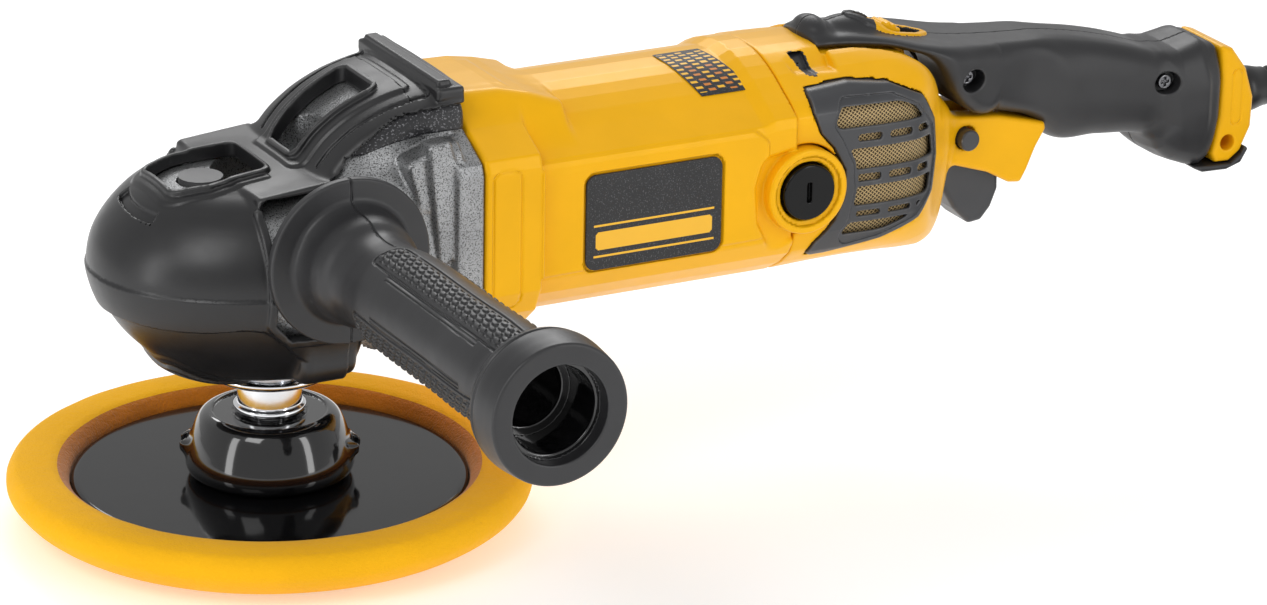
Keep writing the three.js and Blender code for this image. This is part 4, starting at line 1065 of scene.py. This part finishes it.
# ---- side handle
SIDE_R = curve([(56, 19.6), (60, 19.8), (72, 19.9), (76, 19.2), (80, 17.4), (86, 16.5), (94, 16.9),
                (102, 17.9), (112, 18.3), (150, 18.3), (186, 18.4), (192, 18.0), (196, 18.6), (199, 21.2),
                (202, 24.2), (204, 24.9), (214, 25.0), (218, 24.6), (222, 24.2)])


def side_field(x, y, z):
    s, u, w = -y, x - SOCKET_X, z - SOCKET_Z
    r = np.hypot(u, w)
    grip = meet(1.2, above(r, s, SIDE_R), 60 - s, s - 219.6)
    flange = meet(1.0, r - 30.2, 57.2 - s, s - 61.4 + 0.06 * (r - 20))
    cone = meet(1.5, (r - 22.5 + 0.55 * (s - 61)) / 1.14, slab(s, 60, 70))
    d = join(1.2, flange, smin(grip, cone, 2))
    # four grip panels round it, each with rows of teeth inside a fine outline
    th = np.arctan2(w, u)
    for centre in (105, 207, 285, 27):
        q = ((th - math.radians(centre) + np.pi) % (2 * np.pi) - np.pi) * 18.4
        box = rect(s, q, 148.5, 0, 50, 6.6, 3)
        d = sunk(d, np.abs(box) - 0.4, 0.7, 0.4)
        row = np.floor(q / 2.2)
        along = (s / 4.6 + 0.5 * (row % 2)) % 1.0
        tooth = np.hypot((along - 0.5) * 4.6 * 0.55, q - (row + 0.5) * 2.2) - 0.85
        d = raised(d, smax(tooth, box + 1.5), 0.75, 0.35)
    # twin lines on the smooth bands between, and a moulding seam
    for centre in (156, 336):
        q = np.abs(((th - math.radians(centre) + np.pi) % (2 * np.pi) - np.pi) * 18.4)
        for off in (7.2, 8.6):
            d = sunk(d, smax(np.abs(q - off) - 0.3, slab(s, 114, 182)), 0.5, 0.3)
    d = sunk(d, smax(np.abs(u) - 0.35, slab(s, 58, 96)), 0.5, 0.3)
    d = cut(d, np.hypot(r - 25.4, s - 205.5) - 1.0, 0.4)
    # stepped recess in the end
    for radius, bottom in ((17.2, 214), (15.2, 196), (12.0, 176)):
        d = cut(d, smax(r - radius, bottom - s), 0.8)
    # threaded bore
    return cut(d, smax(r - 4.3, s - 65), 0.3)


side_grip = carve("side_grip_shell", side_field, (-28, -222, 83), (36, -55, 147), 0.55, [SOFT, BLACK],
                  pick=lambda x, y, z: ((np.hypot(x - SOCKET_X, z - SOCKET_Z) < 16.9)
                                        & (y < -150)).astype(int))
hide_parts("side_grip")


def stud_field(x, y, z):
    r, th = np.hypot(x - SOCKET_X, z - SOCKET_Z), np.arctan2(z - SOCKET_Z, x - SOCKET_X)
    thread = 0.28 * np.cos(2 * np.pi * (-y / 1.5) + th)
    return meet(0.4, r - 3.6 - thread, slab(-y, 40.2, 64.4))


stud = carve("handle_stud_thread", stud_field, (-1, -66, 110), (9, -39, 120), 0.35, [STEEL])
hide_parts("side_handle_stud")


# ---- strain relief
def relief_field(x, y, z):
    r = np.hypot(y, z - CORD_Z)
    wall = curve([(386, 5.9), (405, 5.9), (408.4, 6.2), (410, 7.6), (422, 7.6), (432, 7.1), (442, 6.3),
                  (454, 5.5)])
    d = meet(0.8, above(r, x, wall), slab(x, 386.2, 453.8))
    th = np.arctan2(z - CORD_Z, y)
    for k in range(5):
        c = 424 + 5.6 * k
        gap = (th + (k % 2) * np.pi / 2) % np.pi
        d = cut(d, meet(0.6, slab(x, c - 1.3, c + 1.3), 5.3 - r, np.abs(gap - np.pi / 2) * 6 - 7.4), 0.5)
    return cut(d, r - 4.62, 0.2)


relief = carve("cord_relief", relief_field, (384, -9, 94), (456, 9, 112), 0.5, [RUBBER])
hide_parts("strain_relief")


# ---- brush caps, labels, screws
def cap_field(x, s, z):
    r = np.hypot(x - CAP_X, z - CAP_Z)
    d = smin(meet(0.8, r - 10.5, slab(s, 42.4, 47.7)), smax(r - 7.6, slab(s, 35.2, 44)), 0.3)
    return cut(d, smax(rect(x, z, CAP_X, CAP_Z, 0.9, 3.8, 0.5), 45.8 - s), 0.4)


for label, sign in SIDES:
    lo, hi = box_on(sign, (181, 34, 96), (206, 50, 120))
    o = carve("brush_plug_" + label, mirrored(cap_field, sign), lo, hi, 0.45, [CAP])
    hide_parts("brush_cap_" + label)


def label_field(x, s, z):
    return meet(0.3, rect(x, z, LABEL_X, LABEL_Z, 27.5, 18, 4), slab(s, 44.0, 45.0))


def label_pick(x, y, z):
    """Two plain rules with a plain bar between them; no lettering."""
    rules = ((np.abs(z - 107.2) < 0.3) | (np.abs(z - 95.6) < 0.3)) & (np.abs(x - LABEL_X) < 24.5)
    bar = rect(x, z, LABEL_X, 101.4, 23.5, 3.3, 1) < 0
    return (rules | bar).astype(int)


for label, sign in SIDES:
    lo, hi = box_on(sign, (102, 43, 89), (160, 46, 128))
    o = carve("name_plate_" + label, mirrored(label_field, sign), lo, hi, 0.4, [LABEL, INK],
              pick=label_pick)
    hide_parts("label_plate_" + label)


SCREW_Y, SCREW_R, SCREW_HEAD, SCREW_LONG = -16.2, 2.9, 2.3, 7


def screw_field(sx, sz):
    """A cross-recessed screw along y; w runs outwards and is 0 at the head's face."""
    def f(x, y, z):
        u, v, w = x - sx, z - sz, SCREW_Y - y
        r = np.hypot(u, v)
        shank = smax(r - SCREW_R * 0.5, slab(w, -SCREW_LONG, -SCREW_HEAD + 0.5))
        d = smin(meet(0.5, r - SCREW_R, slab(w, -SCREW_HEAD, 0)), shank, 0.2)
        a, b = SCREW_R * 0.62, SCREW_R * 0.16
        cross = np.minimum(rect(u, v, 0, 0, a, b, 0.1), rect(u, v, 0, 0, b, a, 0.1))
        return cut(d, smax(cross, -0.45 * SCREW_HEAD - w), 0.2)
    return f


for label, (sx, sz) in zip(("front", "rear"), SCREWS):
    face = np.array((sx, SCREW_Y, sz))
    tip = face + (0, SCREW_LONG, 0)
    o = carve("grip_screw_" + label, screw_field(sx, sz), face - SCREW_R - 1, tip + SCREW_R + 1, 0.35,
              [STEEL])
    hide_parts("handle_screw_" + label)


# ---- label on top of the motor housing
def top_label():
    """Thin black film over the curved top, with plain bars where a rating table would be."""
    nu, nv = 60, 80
    u, v = np.meshgrid(np.linspace(0, 1, nu + 1), np.linspace(0, 1, nv + 1))
    x = 153.5 + 5.3 * v + (18.8 + 2.3 * v) * u - 3 * v * (1 - v)
    y = 28.8 * v - 1
    height = curve([(-4, 151.3), (0, 151.3)] + DOME)[0]
    verts = np.stack([x, -y, height(np.abs(y)) + 0.3], -1).reshape(-1, 3)
    a = (np.arange(nv)[:, None] * (nu + 1) + np.arange(nu)).ravel()
    quads = np.stack([a, a + nu + 1, a + nu + 2, a + 1], 1)
    u, v = np.meshgrid((np.arange(nu) + 0.5) / nu, (np.arange(nv) + 0.5) / nv)
    column, across = (u * 5).astype(int), (u * 5) % 1
    step = (v * 11 + 0.37 * column) % 1
    bar = meet(0, 0.14 - across, across - 0.86, 0.05 - v, v - 0.95, 0.3 - step, step - 0.72) < 0
    tag = bar * np.where((column % 2 == 1) & (v > 0.42), 2, 1)
    return build("rating_film", verts, quads, "tool", [LABEL, INK, ORANGE], None, tag.ravel())


film = top_label()

# ---- finishes for the parts inside
INNER = dict(hook_pile=CARBON, brass=BRASS, bright_steel=CHROME, gear_steel=STEEL, winding=WIND,
             copper=COPPER, dark_plastic=DARK, cast_alloy=ALLOY, black_rubber=RUBBER, lamination=STEEL,
             carbon=CARBON, foam=FOAM, gloss_black=BLACK, yellow_shell=YELLOW, label_black=LABEL,
             grey_plastic=GREY, mesh=MESH)
for obj in list(bpy.data.objects):
    if obj.name in NODES and obj.type == "MESH":
        for slot in obj.material_slots:
            key = slot.material.name.split(".")[0] if slot.material else "dark_plastic"
            slot.material = INNER.get(key, DARK)


# ---- floor and light
def floor():
    m, _, _, b = surface("floor_white")
    give(b, Base_Color=(0.9, 0.9, 0.9, 1), Roughness=0.6, Emission_Color=(1, 1, 1, 1),
         Emission_Strength=0.33)
    bpy.ops.mesh.primitive_plane_add(size=12, location=(0.2, 0, -0.0008))
    o = bpy.context.object
    o.name = "floor"
    o.data.materials.append(m)


floor()
world = bpy.data.worlds.new("studio")
bpy.context.scene.world = world
world.use_nodes = True
give(world.node_tree.nodes["Background"], Color=(1, 1, 1, 1), Strength=0.6)


def lamp(name, place, aim, size, power):
    d = bpy.data.lights.new(name, "AREA")
    d.shape = "RECTANGLE"
    d.size, d.size_y = size
    d.energy = power
    o = bpy.data.objects.new(name, d)
    bpy.context.scene.collection.objects.link(o)
    o.location = place
    o.rotation_euler = (Vector(aim) - Vector(place)).to_track_quat("-Z", "Y").to_euler()


lamp("key", (-1.2, -0.9, 1.5), (0.1, 0, 0.1), (0.8, 0.8), 9)
lamp("strip_left", (-1.3, -0.2, 0.35), (0, 0, 0.05), (0.25, 1.0), 3.5)
lamp("strip_right", (0.9, -1.4, 0.6), (0.1, 0, 0.1), (0.3, 1.2), 5)
lamp("rim", (0.6, 1.2, 1.1), (0.1, 0, 0.1), (1.0, 0.5), 8)
bpy.context.scene.view_settings.view_transform = "Standard"
